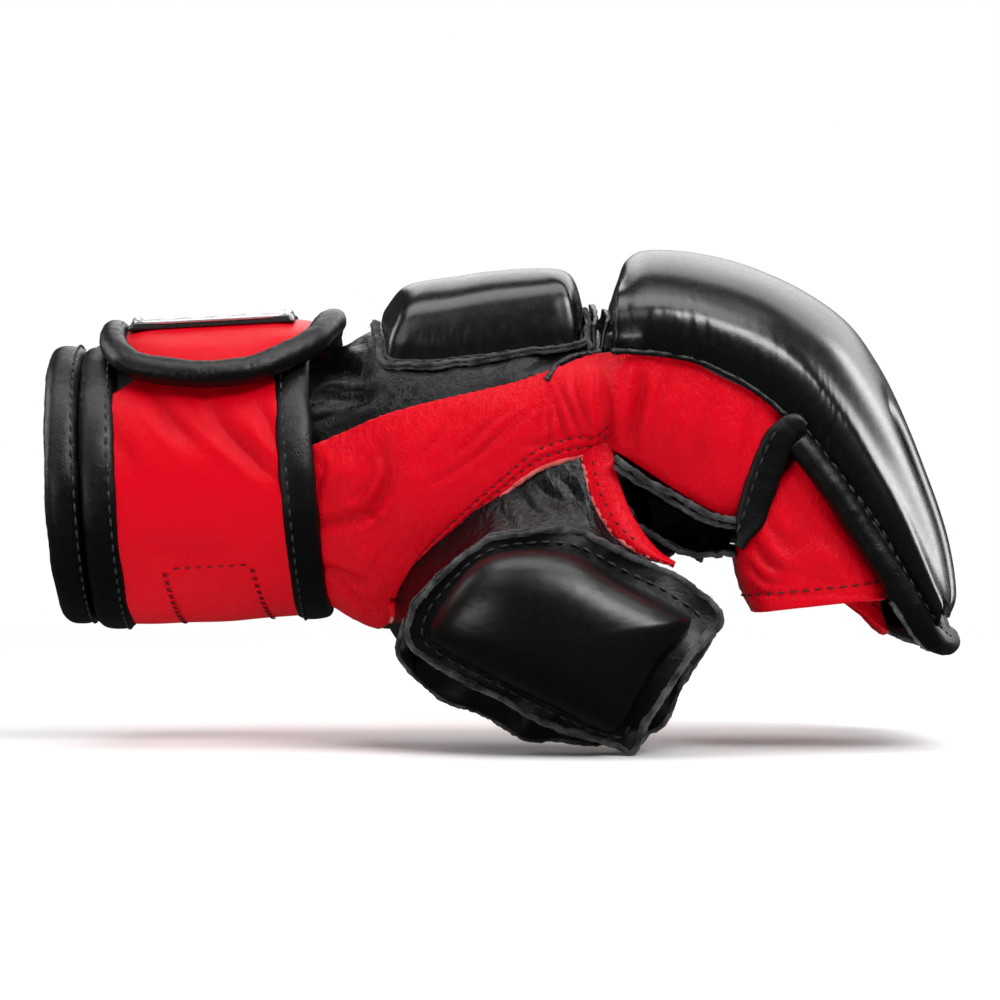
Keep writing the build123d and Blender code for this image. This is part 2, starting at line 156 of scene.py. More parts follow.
class Skin:
    """A grid of points with its outward normals and how deep in a crease each point is, which the leather
    materials darken as painted shade.
    """

    def __init__(self, grid, outward, close_u=False, close_v=False):
        self.points = np.asarray(grid, float)
        self.close = (close_u, close_v)
        self.flip = False
        self.refresh()
        outward = outward(self.points) if callable(outward) else outward
        if np.sum(self.normals * outward) < 0:
            self.flip = True
            self.normals = -self.normals
        self.crease = np.zeros(self.points.shape[:2])

    def slope(self, axis):
        if self.close[axis]:
            return np.roll(self.points, -1, axis) - np.roll(self.points, 1, axis)
        return np.gradient(self.points, axis=axis)

    def refresh(self):
        """Works the normals out again from the points."""
        n = unit(np.cross(self.slope(0), self.slope(1)))
        self.normals = -n if self.flip else n

    def mirror(self):
        """Makes it the same skin on the other side of the hand."""
        self.points, self.normals, self.flip = self.points * MIRROR, self.normals * MIRROR, not self.flip

    def push(self, amount):
        """Moves the points along their normals."""
        self.points = self.points + self.normals * amount[..., None]

    def lumps(self, height, size, seed, stretch=(1, 1, 1), mask=1.0):
        """Uneven swells of a height and size, which may be stretched and kept to a part of the skin."""
        self.push(height * mask * ripple(self.points * stretch, size, seed))

    def veins(self, depth, size, seed, stretch=(1, 1, 1), mask=1.0):
        """Fine creases that branch over the leather, as thin valleys where smooth noise crosses zero."""
        valley = np.exp(-np.abs(ripple(self.points * stretch, size, seed)) * 9) * mask
        self.push(-depth * valley)
        self.crease = np.maximum(self.crease, 0.45 * valley * min(1.0, depth * 3))

    def fold(self, line, width, depth, bank):
        """Presses a valley along an (x, z) line, with raised banks."""
        line, q = smooth(line, 24), self.points[..., [0, 2]]
        best, along = np.full(q.shape[:2], 1e9), np.zeros(q.shape[:2])
        for i, (a, b) in enumerate(zip(line[:-1], line[1:])):
            d = b - a
            t = np.clip(((q - a) @ d) / (d @ d), 0, 1)
            away = np.linalg.norm(q - a - t[..., None] * d, axis=-1)
            nearer = away < best
            best = np.where(nearer, away, best)
            along = np.where(nearer, (i + t) / (len(line) - 1), along)
        ends = np.clip(np.sin(np.pi * np.clip(along, 0.02, 0.98)), 0, 1) ** 0.5
        valley = np.exp(-((best / width) ** 1.25))
        banks = bell((best - 2.0 * width) / (0.9 * width))
        self.push(ends * depth * (bank * banks - valley))
        self.crease = np.maximum(self.crease, ends * valley * min(1.0, abs(depth) / 1.2) * (depth > 0))

    def folds(self, creases, bank=0.35, where=None):
        """Presses a fold for each (line, width, depth), over the whole skin or only where told."""
        for line, width, depth in creases:
            points, crease = self.points, self.crease
            self.fold(line, width, depth, bank)
            if where is not None:
                self.points = np.where(where[..., None], self.points, points)
                self.crease = np.where(where, self.crease, crease)

    def pucker(self, height, spacing, reach, seed):
        """Fine gathers that run off a seam at the first v edge of the grid."""
        s = lengths(self.points[:, 0])[:, None]
        drift = ripple(self.points, spacing * 2.3, seed) * 3.2
        local = 0.55 + 0.45 * ripple(self.points, spacing * 5, seed + 7)
        wave = np.sin(2 * np.pi * s / spacing + drift) * np.exp(-distances(self.points) / reach) * local
        self.push(height * wave)
        self.crease = np.maximum(self.crease, np.clip(-wave, 0, 1) * 0.35)

    def furrow(self, distance, depth, width, rows):
        """Presses a channel where stitches pull some rows down, at a distance in from the last v edge."""
        away = distances(self.points[rows, ::-1])[:, ::-1]
        self.points[rows] -= self.normals[rows] * (depth * bell((away - distance) / width))[..., None]

    def line(self, distance, lift, from_end=False):
        """A line and its normals, at a distance in from a v edge and lifted off the skin."""
        g, n = (self.points[:, ::-1], self.normals[:, ::-1]) if from_end else (self.points, self.normals)
        at = distances(g)
        points = np.vstack([sample(row, s, distance) for row, s in zip(g, at)])
        normals = unit(np.vstack([sample(row, s, distance) for row, s in zip(n, at)]))
        return points + normals * lift, normals


def rim(skin):
    """The closed outer edge of a flange: a line inside its leather, the way outwards and the normals."""
    edge, normals = skin.points[:, -1], loop(skin.normals[:, -1])
    return loop(edge) - normals * 0.6, unit(loop(edge - skin.points[:, -4])), normals


# ------------------------------------------------------------------ objects
def add_piece(name, points, faces, material, body, also=(), crease=None):
    """A mesh object in the row frame. It replaces the CAD node of its own name, if any, and those in also."""
    mesh = bpy.data.meshes.new(name)
    mesh.from_pydata(place(points).tolist(), [], faces)
    mesh.polygons.foreach_set("use_smooth", [True] * len(mesh.polygons))
    # The crease depth goes on as an attribute, which the leather materials read to paint shade into creases
    if crease is not None:
        layer = mesh.attributes.new("crease", "FLOAT", "POINT")
        layer.data.foreach_set("value", crease.astype(np.float32))
    mesh.materials.append(MATERIALS[material])
    obj = bpy.data.objects.new(name, mesh)
    bpy.context.scene.collection.objects.link(obj)
    if body:
        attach(obj, body)
    nodes = [node for node in (name, *also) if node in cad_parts]
    if nodes:
        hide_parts(*nodes)
    return obj


def grid_faces(nu, nv, close_u=False, close_v=False, flip=False):
    a, b = lattice(np.arange(nu if close_u else nu - 1), np.arange(nv if close_v else nv - 1))
    a2, b2 = (a + 1) % nu, (b + 1) % nv
    quads = np.stack([a * nv + b, a2 * nv + b, a2 * nv + b2, a * nv + b2], -1).reshape(-1, 4)
    return (quads[:, ::-1] if flip else quads).tolist()


def skin_piece(name, skin, material, body, also=(), thick=0.0, capped=False, keep=None):
    """A piece from a skin. thick grows it inwards, and capped closes its first and last rows with fans."""
    nu, nv = skin.points.shape[:2]
    faces = grid_faces(nu, nv, *skin.close, flip=skin.flip)
    if keep is not None:
        kept = keep.ravel()
        faces = [face for face in faces if all(kept[i] for i in face)]
    points, crease = skin.points.reshape(-1, 3), skin.crease.ravel()
    for row in (0, nu - 1) if capped else ():
        hub = len(points)
        points, crease = np.vstack([points, skin.points[row].mean(0)]), np.append(crease, 0)
        for j in range(nv):
            pair = [row * nv + j, row * nv + (j + 1) % nv]
            faces.append([hub, *(pair if (row == 0) != skin.flip else pair[::-1])])
    obj = add_piece(name, points, faces, material, body, also, crease)
    if thick:
        shell = obj.modifiers.new("thickness", "SOLIDIFY")
        shell.thickness, shell.offset, shell.use_rim = thick / 1000, -1, True
        shell.use_even_offset = False
    return obj


def bend(obj):
    """Bakes a piece's transform into its mesh; nothing blends it across the knuckle joint."""
    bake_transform(obj)


def tube_skin(path, side, radii, around, n=2.0, closed=False):
    """A tube along a path. side gives the direction of its first radius at each point."""
    tangent = unit(np.roll(path, -1, 0) - np.roll(path, 1, 0) if closed else np.gradient(path, axis=0))
    side = np.broadcast_to(np.asarray(side, float), path.shape)
    first = unit(side - np.sum(side * tangent, 1, keepdims=True) * tangent)
    second = np.cross(tangent, first)
    turn = np.linspace(0, 2 * np.pi, around, endpoint=False)
    r1, r2 = (np.broadcast_to(np.asarray(r, float), (len(path),))[:, None, None] for r in radii)
    grid = path[:, None] + first[:, None] * r1 * power(np.cos(turn), n)[None, :, None]
    grid = grid + second[:, None] * r2 * power(np.sin(turn), n)[None, :, None]
    return Skin(grid, lambda g: g - path[:, None], close_u=closed, close_v=True)


def stitches(name, line, normals, body, thread="thread_black", length=2.3, gap=1.2, radius=0.34, slant=0.0):
    """A row of sewn stitches, each a short arched strand whose ends go down into the leather."""
    steps = corners = 6
    s, normals = lengths(line), np.broadcast_to(normals, line.shape)
    tau = np.linspace(-1, 1, steps)
    turn = np.linspace(0, 2 * np.pi, corners, endpoint=False)
    arch, size = radius * (0.5 - 1.1 * tau**2), radius * np.sqrt(1 - (0.9 * tau) ** 2)
    points, faces = [], []
    for start in np.arange(gap, s[-1] - length, length + gap):
        at = start + (tau + 1) / 2 * length
        p, n = sample(line, s, at), unit(sample(normals, s, at))
        b = np.cross(unit(p[-1:] - p[:1]), n)
        p = p + b * (tau * slant)[:, None] + n * arch[:, None]
        spokes = b[:, None] * np.cos(turn)[None, :, None] + n[:, None] * np.sin(turn)[None, :, None]
        base = len(points) * steps * corners
        last = base + (steps - 1) * corners
        points.append((p[:, None] + spokes * size[:, None, None]).reshape(-1, 3))
        faces += (np.array(grid_faces(steps, corners, close_v=True)) + base).tolist()
        faces += [[base + j for j in reversed(range(corners))], [last + j for j in range(corners)]]
    return add_piece(name, np.vstack(points), faces, thread, body)


def fibres(name, line, normals, body, count, material, seed):
    """Short leather fibres that stand off a cut edge: three-sided strands with a bend in the middle."""
    length, width, scatter = 0.8, 0.07, 0.3
    rng = np.random.default_rng(seed)
    s = lengths(line)
    at = rng.uniform(0, s[-1], count)
    root = sample(line, s, at) + rng.normal(0, scatter, (count, 3))
    lean = unit(unit(sample(normals, s, at)) + rng.normal(0, 0.75, (count, 3)))
    side = unit(np.cross(lean, rng.normal(0, 1, (count, 3))))
    other = np.cross(lean, side)
    reach = rng.uniform(0.35, 1.0, (count, 1)) * length
    curl = side * rng.normal(0, 0.35, (count, 1)) * reach
    middle, tip = root + lean * reach * 0.55 + curl * 0.3, root + lean * reach + curl
    corners = []
    for centre, scale in ((root, 1.0), (middle, 0.7)):
        for turn in (0, 2 * math.pi / 3, 4 * math.pi / 3):
            corners.append(centre + (side * math.cos(turn) + other * math.sin(turn)) * width * scale)
    points = np.stack([*corners, tip], 1).reshape(-1, 3)
    strand = [(0, 1, 4, 3), (1, 2, 5, 4), (2, 0, 3, 5), (3, 4, 6), (4, 5, 6), (5, 3, 6)]
    faces = [[7 * i + k for k in face] for i in range(count) for face in strand]
    return add_piece(name, points, faces, material, body)


def raw_edge(name, line, normals, across, body, layers, height, material="raw_black", fuzz=1.0, seed=1):
    """A cut leather edge seen end on: thin uneven strands side by side, with fibres standing off them."""
    line = resample(line, max(60, int(lengths(line)[-1] / 0.5)))
    normals, across = spread(normals, len(line)), spread(across, len(line))
    for layer in range(layers):
        path = line + across * (layer - (layers - 1) / 2) * height / layers
        sway, rise = ripple(path, 3.0, seed + layer) * 0.22, ripple(path, 2.2, seed + 5 + layer) * 0.3
        path = path + across * sway[:, None] + normals * rise[:, None]
        thick = height / layers * 0.48 * (1 + 0.5 * ripple(path, 1.3, seed + 11))
        strand = tube_skin(path, across, (thick, 0.75), 8)
        strand.lumps(0.26, 0.8, seed + 2)
        skin_piece(f"{name}_{layer}", strand, material, body, capped=True)
    fibres(f"{name}_fibres", line, normals, body, int(lengths(line)[-1] * 14 * fuzz), material, seed)


# ------------------------------------------------------------------ materials
CLEAR, FULL = (0, 0, 0), (1, 1, 1)


def rgba(colour):
    return colour if isinstance(colour, bpy.types.NodeSocket) else (*colour, 1)


class Material:
    """A Principled material whose textures lie in the object's own coordinates."""

    def __init__(self, name):
        MATERIALS[name] = bpy.data.materials.new(name)
        MATERIALS[name].use_nodes = True
        self.tree = MATERIALS[name].node_tree
        self.shader = self.tree.nodes["Principled BSDF"]
        self.where = self.node("ShaderNodeTexCoord").outputs["Object"]

    def node(self, kind, inputs=None, **settings):
        made = self.tree.nodes.new(kind)
        for key, value in settings.items():
            setattr(made, key, value)
        self.fill(made, inputs or {})
        return made

    def fill(self, node, inputs):
        """Links a node's inputs to sockets, or gives them values."""
        for key, value in inputs.items():
            if isinstance(value, bpy.types.NodeSocket):
                self.tree.links.new(value, node.inputs[key])
            else:
                node.inputs[key].default_value = value

    def finish(self, **inputs):
        self.fill(self.shader, {key.replace("_", " "): value for key, value in inputs.items()})

    def noise(self, scale, detail=2.0, roughness=0.5, distortion=0.0, vector=None):
        inputs = {"Vector": vector or self.where, "Scale": scale, "Detail": detail, "Roughness": roughness}
        return self.node("ShaderNodeTexNoise", {**inputs, "Distortion": distortion}).outputs["Fac"]

    def voronoi(self, size, randomness=1.0, feature="F1"):
        inputs = {"Vector": self.where, "Scale": 1000 / size, "Randomness": randomness}
        return self.node("ShaderNodeTexVoronoi", inputs, feature=feature).outputs["Distance"]

    def mix(self, factor, a, b, **settings):
        inputs = {"Factor": factor, "A": rgba(a), "B": rgba(b)}
        return self.node("ShaderNodeMix", inputs, data_type="RGBA", **settings).outputs["Result"]

    def ramp(self, factor, *stops):
        made = self.node("ShaderNodeValToRGB", {"Fac": factor})
        while len(made.color_ramp.elements) < len(stops):
            made.color_ramp.elements.new(0.5)
        for element, (position, colour) in zip(made.color_ramp.elements, stops):
            element.position, element.color = position, rgba(colour)
        return made.outputs["Color"]

    def span(self, value, low, high, start=0.0, end=1.0, **settings):
        """Maps start to end onto low to high."""
        inputs = {"Value": value, "From Min": start, "From Max": end, "To Min": low, "To Max": high}
        return self.node("ShaderNodeMapRange", inputs, **settings).outputs["Result"]

    def relief(self, height, strength, distance, under=None):
        """The normal of a bump, which may lie on top of another one."""
        inputs = {"Height": height, "Strength": strength, "Distance": distance}
        if under is not None:
            inputs["Normal"] = under
        return self.node("ShaderNodeBump", inputs).outputs["Normal"]


def leather(name, tones, roughness, wrinkle, gloss, cell=0.5, grain=0.3, stretch=(1, 1, 1), tint=FULL):
    """Top-grain leather: pebbled cells, pores, soft wrinkles, and painted shade that darkens its colour in
    creases.
    """
    made = Material(name)
    colour, shade = tones
    pebble = made.ramp(made.voronoi(cell, feature="DISTANCE_TO_EDGE"), (0.0, CLEAR), (0.16, FULL))
    turned = made.node("ShaderNodeMapping", {"Vector": made.where, "Scale": stretch}).outputs["Vector"]
    lines = made.noise(400.0, 4.0, 0.6, 0.7, turned)
    creases = made.ramp(lines, (0.42, FULL), (0.5, CLEAR), (0.58, FULL))
    # Painted shade: the crease attribute darkens the base colour towards a third of the shade tone
    pressed = made.node("ShaderNodeAttribute", attribute_name="crease").outputs["Fac"]
    deep = made.node("ShaderNodeMath", {0: pressed, 1: 0.4}, operation="MULTIPLY", use_clamp=True).outputs[0]
    tone = made.mix(made.noise(45.0, 3.0), colour, shade)
    normal = made.relief(creases, wrinkle, 0.00035)
    normal = made.relief(pebble, grain, 0.00012, normal)
    normal = made.relief(made.noise(2600.0), grain, 0.0001, normal)
    made.finish(
        Base_Color=made.mix(deep, tone, tuple(c * 0.35 for c in shade)),
        Roughness=made.span(made.noise(420.0, 5.0, 0.62), roughness * 0.9, roughness * 1.16, 0.3, 0.7),
        Normal=normal,
        Specular_IOR_Level=gloss,
        Specular_Tint=rgba(tint),
    )


def fabric(name, colour, shade, size, roughness=0.85, sheen=0.3, loose=False):
    """A knitted or looped textile, with rows of loops of the given size in millimetres."""
    made = Material(name)
    hairs = made.noise(1800.0, 4.0, distortion=2.0 if loose else 0.4)
    inputs = {0: made.voronoi(size, 1.0 if loose else 0.55), 1: hairs, 2: 0.2}
    height = made.node("ShaderNodeMath", inputs, operation="MULTIPLY_ADD").outputs[0]
    blotch = made.span(made.noise(60.0, 3.0), 0.75, 1.15)
    made.finish(
        Base_Color=made.mix(1.0, made.mix(hairs, shade, colour), blotch, blend_type="MULTIPLY"),
        Normal=made.relief(height, 0.8, size * 0.0004),
        Roughness=roughness,
        Sheen_Weight=sheen,
        Sheen_Roughness=0.5,
    )


def thread(name, colour, shade):
    """Bonded sewing thread: a fine twist with a slight sheen."""
    made = Material(name)
    inputs = {"Vector": made.where, "Scale": 900.0, "Distortion": 3.0, "Detail": 2.0}
    twist = made.node("ShaderNodeTexWave", inputs).outputs["Fac"]
    normal = made.relief(twist, 0.5, 0.0001)
    made.finish(Base_Color=made.mix(twist, shade, colour), Normal=normal, Roughness=0.55)


def raw(name, colour, shade):
    """The fibrous cut edge and flesh side of leather."""
    made = Material(name)
    fibre = made.noise(1100.0, 6.0, 0.75, 1.5)
    patches = made.ramp(made.noise(260.0), (0.35, shade), (0.68, colour))
    normal = made.relief(fibre, 0.9, 0.0003)
    made.finish(Base_Color=made.mix(fibre, shade, patches), Normal=normal, Roughness=0.9, Sheen_Weight=0.2)


def vinyl(name, colour, roughness, metallic=0.0):
    """Moulded soft vinyl, with faint handling marks."""
    made = Material(name)
    marks = made.noise(300.0, 6.0, distortion=2.0)
    made.finish(
        Base_Color=made.ramp(marks, (0.3, tuple(c * 0.8 for c in colour)), (0.7, colour)),
        Roughness=made.span(marks, roughness, roughness + 0.2),
        Normal=made.relief(marks, 0.15, 0.0002),
        Metallic=metallic,
        Coat_Weight=0.5,
        Coat_Roughness=0.1,
    )


def floor_material():
    """A pale matt floor that fades out away from the glove."""
    made = Material("floor")
    tone = made.ramp(made.noise(30.0, 4.0), (0.3, (0.9, 0.9, 0.9)), (0.7, (0.93, 0.93, 0.93)))
    made.finish(Base_Color=tone, Roughness=0.8)
    away = made.node("ShaderNodeVectorMath", {0: made.where}, operation="LENGTH").outputs["Value"]
    fade = made.span(away, 0.0, 1.0, 0.34, 0.85, interpolation_type="SMOOTHSTEP")
    clear = made.node("ShaderNodeBsdfTransparent")
    both = made.node("ShaderNodeMixShader", {0: fade, 1: made.shader.outputs[0], 2: clear.outputs[0]})
    output = next(node for node in made.tree.nodes if node.type == "OUTPUT_MATERIAL")
    made.fill(output, {"Surface": both.outputs[0]})


RED = ((0.72, 0.0, 0.01), (0.57, 0.0, 0.007))
BLACK = ((0.0028, 0.0029, 0.0034), (0.0014, 0.0014, 0.0017))
WARM, GRAIN_RUN = (1.0, 0.2, 0.24), (1.0, 1.0, 0.5)

leather("red_leather", RED, 0.36, wrinkle=0.14, gloss=0.34, tint=WARM)
leather("red_soft", RED, 0.31, wrinkle=0.36, gloss=0.46, stretch=GRAIN_RUN, tint=WARM)
leather("black_leather", BLACK, 0.36, grain=0.2, wrinkle=0.13, gloss=0.42)
leather("black_smooth", BLACK, 0.33, cell=0.4, grain=0.05, wrinkle=0.03, gloss=0.46)
leather("black_pad", BLACK, 0.25, cell=0.4, grain=0.035, wrinkle=0.02, gloss=0.68)
leather("black_wrinkled", BLACK, 0.2, grain=0.16, wrinkle=0.24, gloss=0.24, stretch=GRAIN_RUN)
fabric("lining", (0.03, 0.03, 0.034), (0.01, 0.01, 0.012), 1.1)
fabric("hook_tape", (0.06, 0.06, 0.063), (0.006, 0.006, 0.007), 1.0, roughness=0.5, sheen=0.1)
fabric("loop_pile", (0.05, 0.05, 0.052), (0.008, 0.008, 0.009), 1.3, loose=True)
thread("thread_black", (0.035, 0.035, 0.038), (0.012, 0.012, 0.013))
thread("thread_grey", (0.16, 0.16, 0.165), (0.03, 0.03, 0.03))
thread("thread_red", (0.13, 0.0, 0.004), (0.04, 0.0, 0.002))
raw("raw_black", (0.15, 0.152, 0.157), (0.004, 0.004, 0.0045))
raw("raw_red", (0.85, 0.3, 0.27), (0.6, 0.05, 0.05))
vinyl("badge_black", (0.02, 0.02, 0.022), 0.18)
vinyl("badge_silver", (0.72, 0.72, 0.74), 0.25, metallic=0.6)
floor_material()

# ------------------------------------------------------------------ the wrist
# The wrist is an oval: where its front and its middle are, and half its width and height
WRIST_FRONT, WRIST_Z, WRIST_W, WRIST_H = -46.5, 71.0, 39.5, 35.5
TILT_SIN, TILT_COS = math.sin(math.radians(3)), math.cos(math.radians(3))
STRAP_WIDTH = 59.0
# name, how far back its middle is, half its width, and how far back it is sewn
BINDINGS = (("front", 4.4, 4.7, 6.9), ("rear", 54.3, 4.6, 51.6))
# Every fold is a line of (x, z) points, a width and a depth
STRAP_FOLDS = [
    ([(-88, 93), (-83, 86), (-76, 79)], 2.4, 1.2), ([(-74, 91), (-69, 83), (-61, 75), (-55, 70)], 2.2, 1.5),
    ([(-62, 91), (-58, 84), (-56, 76)], 1.6, 0.8), ([(-80, 92), (-77, 87), (-71, 81)], 1.5, 0.6),
    ([(-99, 88), (-96, 80), (-90, 72)], 2.5, 0.5), ([(-92, 56), (-80, 53), (-66, 54)], 3.0, 0.35),
]


def wrist(angle, offset, back):
    """A point round the wrist: angle in degrees from the crown towards the thumb, offset outwards from the
    strap's face, and back from the strap's front edge."""
    a = np.radians(angle)
    side = (WRIST_W + offset) * np.sin(a)
    up = (WRIST_H + offset) * np.cos(a)
    lean = 1.2 * up / WRIST_H
    x = WRIST_FRONT - back * TILT_COS - up * TILT_SIN - lean * (1 - back / STRAP_WIDTH)
    return surface(x, -side, WRIST_Z - back * TILT_SIN + up * TILT_COS)


def wrist_out(angle):
    """The outward direction round the wrist."""
    a = np.radians(angle)
    return unit(surface(0 * a, -np.sin(a) / WRIST_W, np.cos(a) / WRIST_H))


def strap_rise(angle):
    """How far the strap's last part stands out, where it laps over its start."""
    return 5.6 * smoothstep((angle - 245) / 85)


def wrist_strap():
    """The red strap round the cuff, with a sewn binding along each of its edges."""
    share, back = lattice(np.linspace(0, 1, 230), np.linspace(4.5, 54.5, 70))
    begin = 39 + 9 * smoothstep((back - 42) / 9)
    angle = begin + (333.5 - begin) * share
    belly = 0.7 * np.sin(np.pi * (back - 4) / 51)
    skin = Skin(wrist(angle, strap_rise(angle) - 0.2 + belly, back), wrist_out(angle))
    skin.lumps(0.5, 16, 3)
    skin.folds(STRAP_FOLDS, where=skin.points[..., 1] < 0)
    skin_piece("wrist_strap", skin, "red_leather", HAND, thick=2.2)
    angle = np.linspace(-19, 334, 300)
    for name, centre, half, sewn in BINDINGS:
        path = wrist(angle, strap_rise(angle) - 1.3, centre)
        band = tube_skin(path, wrist_out(angle), (2.5, half), 28, 2.6)
        band.lumps(0.22, 7, 2 + centre)
        band.lumps(0.1, 2.2, 4 + centre)
        skin_piece(f"strap_binding_{name}", band, "black_leather", HAND, capped=True)
        line = wrist(angle, strap_rise(angle) + 1.08, sewn)
        stitches(f"strap_stitch_{name}", line, wrist_out(angle), HAND)
    strap_box()


def strap_box():
    """The box of red stitches where the strap is sewn down."""
    top, bottom = 126.0, 176.0
    line = wrist(top, 0.6, np.linspace(18, 40, 40))
    stitches("strap_box_top", line, wrist_out(top), HAND, "thread_red", 1.6, radius=0.22)
    turn = np.linspace(top, bottom, 60)
    for side, start, end in (("front", 18.0, 14.6), ("rear", 39.8, 37.0)):
        leg = wrist(turn, 0.65, np.linspace(start, end, 60))
        for k, slant in enumerate((0.6, -0.6)):
            stitches(f"strap_box_{side}_{k}", leg, wrist_out(turn), HAND, "thread_red", 1.6, 1.3, 0.2, slant)


def wrist_cuff():
    """The padded cuff inside the strap, the loop pile beside the closure, and the cuff's rolled mouth."""
    angle, back = lattice(np.linspace(0, 360, 140, endpoint=False), np.linspace(-3, 64, 40))
    cuff = Skin(wrist(angle, -3.6, back), wrist_out(angle), close_u=True)
    cuff.lumps(0.4, 14, 9)
    skin_piece("wrist_cuff", cuff, "black_leather", HAND, thick=3.0)
    depth = 10.6 - 1.6 * np.cos(np.pi * back / 64)
    lining = Skin(wrist(angle, -depth, back), -wrist_out(angle), close_u=True)
    lining.lumps(0.5, 12, 4)
    skin_piece("cuff_lining", lining, "lining", HAND)
    turn = np.linspace(0, 360, 260, endpoint=False)
    path = wrist(turn, -4.6 + 1.3 * np.cos(np.radians(turn)), 63.4)
    rim = tube_skin(path, wrist_out(turn), (5.2, 4.7), 30, 2.6, closed=True)
    rim.lumps(0.35, 9, 6)
    rim.lumps(0.12, 2.0, 8)
    skin_piece("cuff_edge_binding", rim, "black_leather", HAND)
    turn = np.linspace(0, 360, 260)
    stitches("cuff_stitch", wrist(turn, 0.35 + 1.3 * np.cos(np.radians(turn)), 60.4), wrist_out(turn), HAND)
    angle, back = lattice(np.linspace(-28, 50, 60), np.linspace(2, 57, 50))
    pile = Skin(wrist(angle, -1.7, back), wrist_out(angle))
    pile.lumps(0.25, 1.6, 5)
    skin_piece("loop_panel", pile, "loop_pile", HAND, thick=1.6)


# ------------------------------------------------------------------ the strap's tab
# (x, z) along the tab's free edge, seen from the thumb side
TAB_EDGE = [(-104, 116), (-103.4, 110), (-101.4, 104), (-95, 98), (-84, 95.2), (-72, 94.4), (-60, 96.0),
            (-50.5, 100.2), (-43, 105.2), (-39.6, 110), (-38.4, 116)]
# The angle that the tab starts from, and the millimetres to a degree round the crown
TAB_ROOT = -23.0
ARC = math.radians(1) * 43.5


def on_wrist(x, z, offset):
    """The (arc, back) on the wrist of a point seen from the thumb side, as millimetres round and along it."""
    up = z - WRIST_Z
    for _ in range(6):
        back = (WRIST_FRONT - x - up * TILT_SIN) / TILT_COS
        up = (z - WRIST_Z + back * TILT_SIN) / TILT_COS
    return math.degrees(math.acos(min(1, up / (WRIST_H + offset)))) * ARC, back


def tab_outline(inset, count=320):
    """The tab's edge as (arc, back), moved inwards by an inset."""
    edge = [on_wrist(x, z, 5.0) for x, z in TAB_EDGE]
    edge = [(arc, back) for arc, back in edge if arc > 12 * ARC]
    rear, front = edge[0][1], edge[-1][1]
    rear_side = [(TAB_ROOT * ARC, rear + 1.0), (-8 * ARC, rear + 1.4), (6 * ARC, rear + 1.2)]
    front_side = [(6 * ARC, front - 1.4), (-8 * ARC, front - 0.6), (TAB_ROOT * ARC, front + 1.0)]
    line = smooth([*rear_side, *edge, *front_side], count)
    tangent = unit(np.gradient(line, axis=0))
    inward = np.column_stack([tangent[:, 1], -tangent[:, 0]])
    if np.sum(inward * (line.mean(0) - line)) < 0:
        inward = -inward
    return line + inward * inset


def strap_tab():
    """The strap's free end: its rolled binding, its red panel and the hooks under it."""
    line = tab_outline(3.4)
    angle, back = line[:, 0] / ARC, line[:, 1]
    sag = 0.8 * smoothstep((angle - 25) / 30)
    roll = tube_skin(wrist(angle, 4.7 + sag, back), wrist_out(angle), (3.3, 3.5), 30, 2.15)
    roll.lumps(0.3, 9, 1)
    roll.lumps(0.12, 0.9, 3, (1.0, 0.25, 0.25), smoothstep((angle - 22) / 20)[:, None])
    roll.lumps(0.16, 2.6, 6)
    skin_piece("tab_binding", roll, "black_leather", TAB, capped=True)
    inner = tab_outline(5.6)
    stitches("tab_stitch", wrist(inner[:, 0] / ARC, 6.95, inner[:, 1]), wrist_out(inner[:, 0] / ARC), TAB)
    edge = tab_outline(5.0, 400)
    rear, front = edge[0, 1], edge[-1, 1]
    backs = np.linspace(front, rear, 80)
    order = np.argsort(edge[:, 1])
    low = np.interp(backs, edge[order, 1], edge[order, 0])[:, None]
    backs, share = backs[:, None], np.linspace(0, 1, 60)
    angle = (TAB_ROOT * ARC + (low - TAB_ROOT * ARC) * share) / ARC
    across = np.abs((backs - (rear + front) / 2) / ((rear - front) / 2))
    puff = 6.0 - 1.8 * across**6 - 1.6 * np.clip((share - 0.8) / 0.2, 0, 1) ** 2
    panel = Skin(wrist(angle, puff, backs), wrist_out(angle))
    panel.lumps(0.25, 11, 2)
    skin_piece("tab_panel", panel, "red_leather", TAB, thick=2.0)
    hooks = Skin(wrist(angle, 2.9, backs), -wrist_out(angle))
    hooks.lumps(0.06, 0.8, 4)
    skin_piece("hook_panel", hooks, "hook_tape", TAB, thick=0.9)


def tab_fold():
    """The bend of the strap that the tab peels back on, with a rolled edge on each side."""
    outline = tab_outline(3.4)
    rear, front = outline[0, 1], outline[-1, 1]
    turn = np.linspace(-32, -17, 44)
    angle, back = lattice(turn, np.linspace(front + 1, rear - 1, 60))
    sheet = Skin(wrist(angle, 5.2, back), wrist_out(angle))
    pieces = [skin_piece("tab_fold", sheet, "red_leather", None, thick=2.2)]
    for name, edge in (("front", front), ("rear", rear)):
        roll = tube_skin(wrist(turn, 4.5, edge), wrist_out(turn), (3.1, 3.4), 26)
        pieces.append(skin_piece(f"tab_fold_{name}", roll, "black_leather", None, capped=True))
    start, end = (place(wrist(edge, 5.0, (rear + front) / 2)) for edge in (-29.0, -21.0))
    for piece in pieces:
        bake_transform(piece)


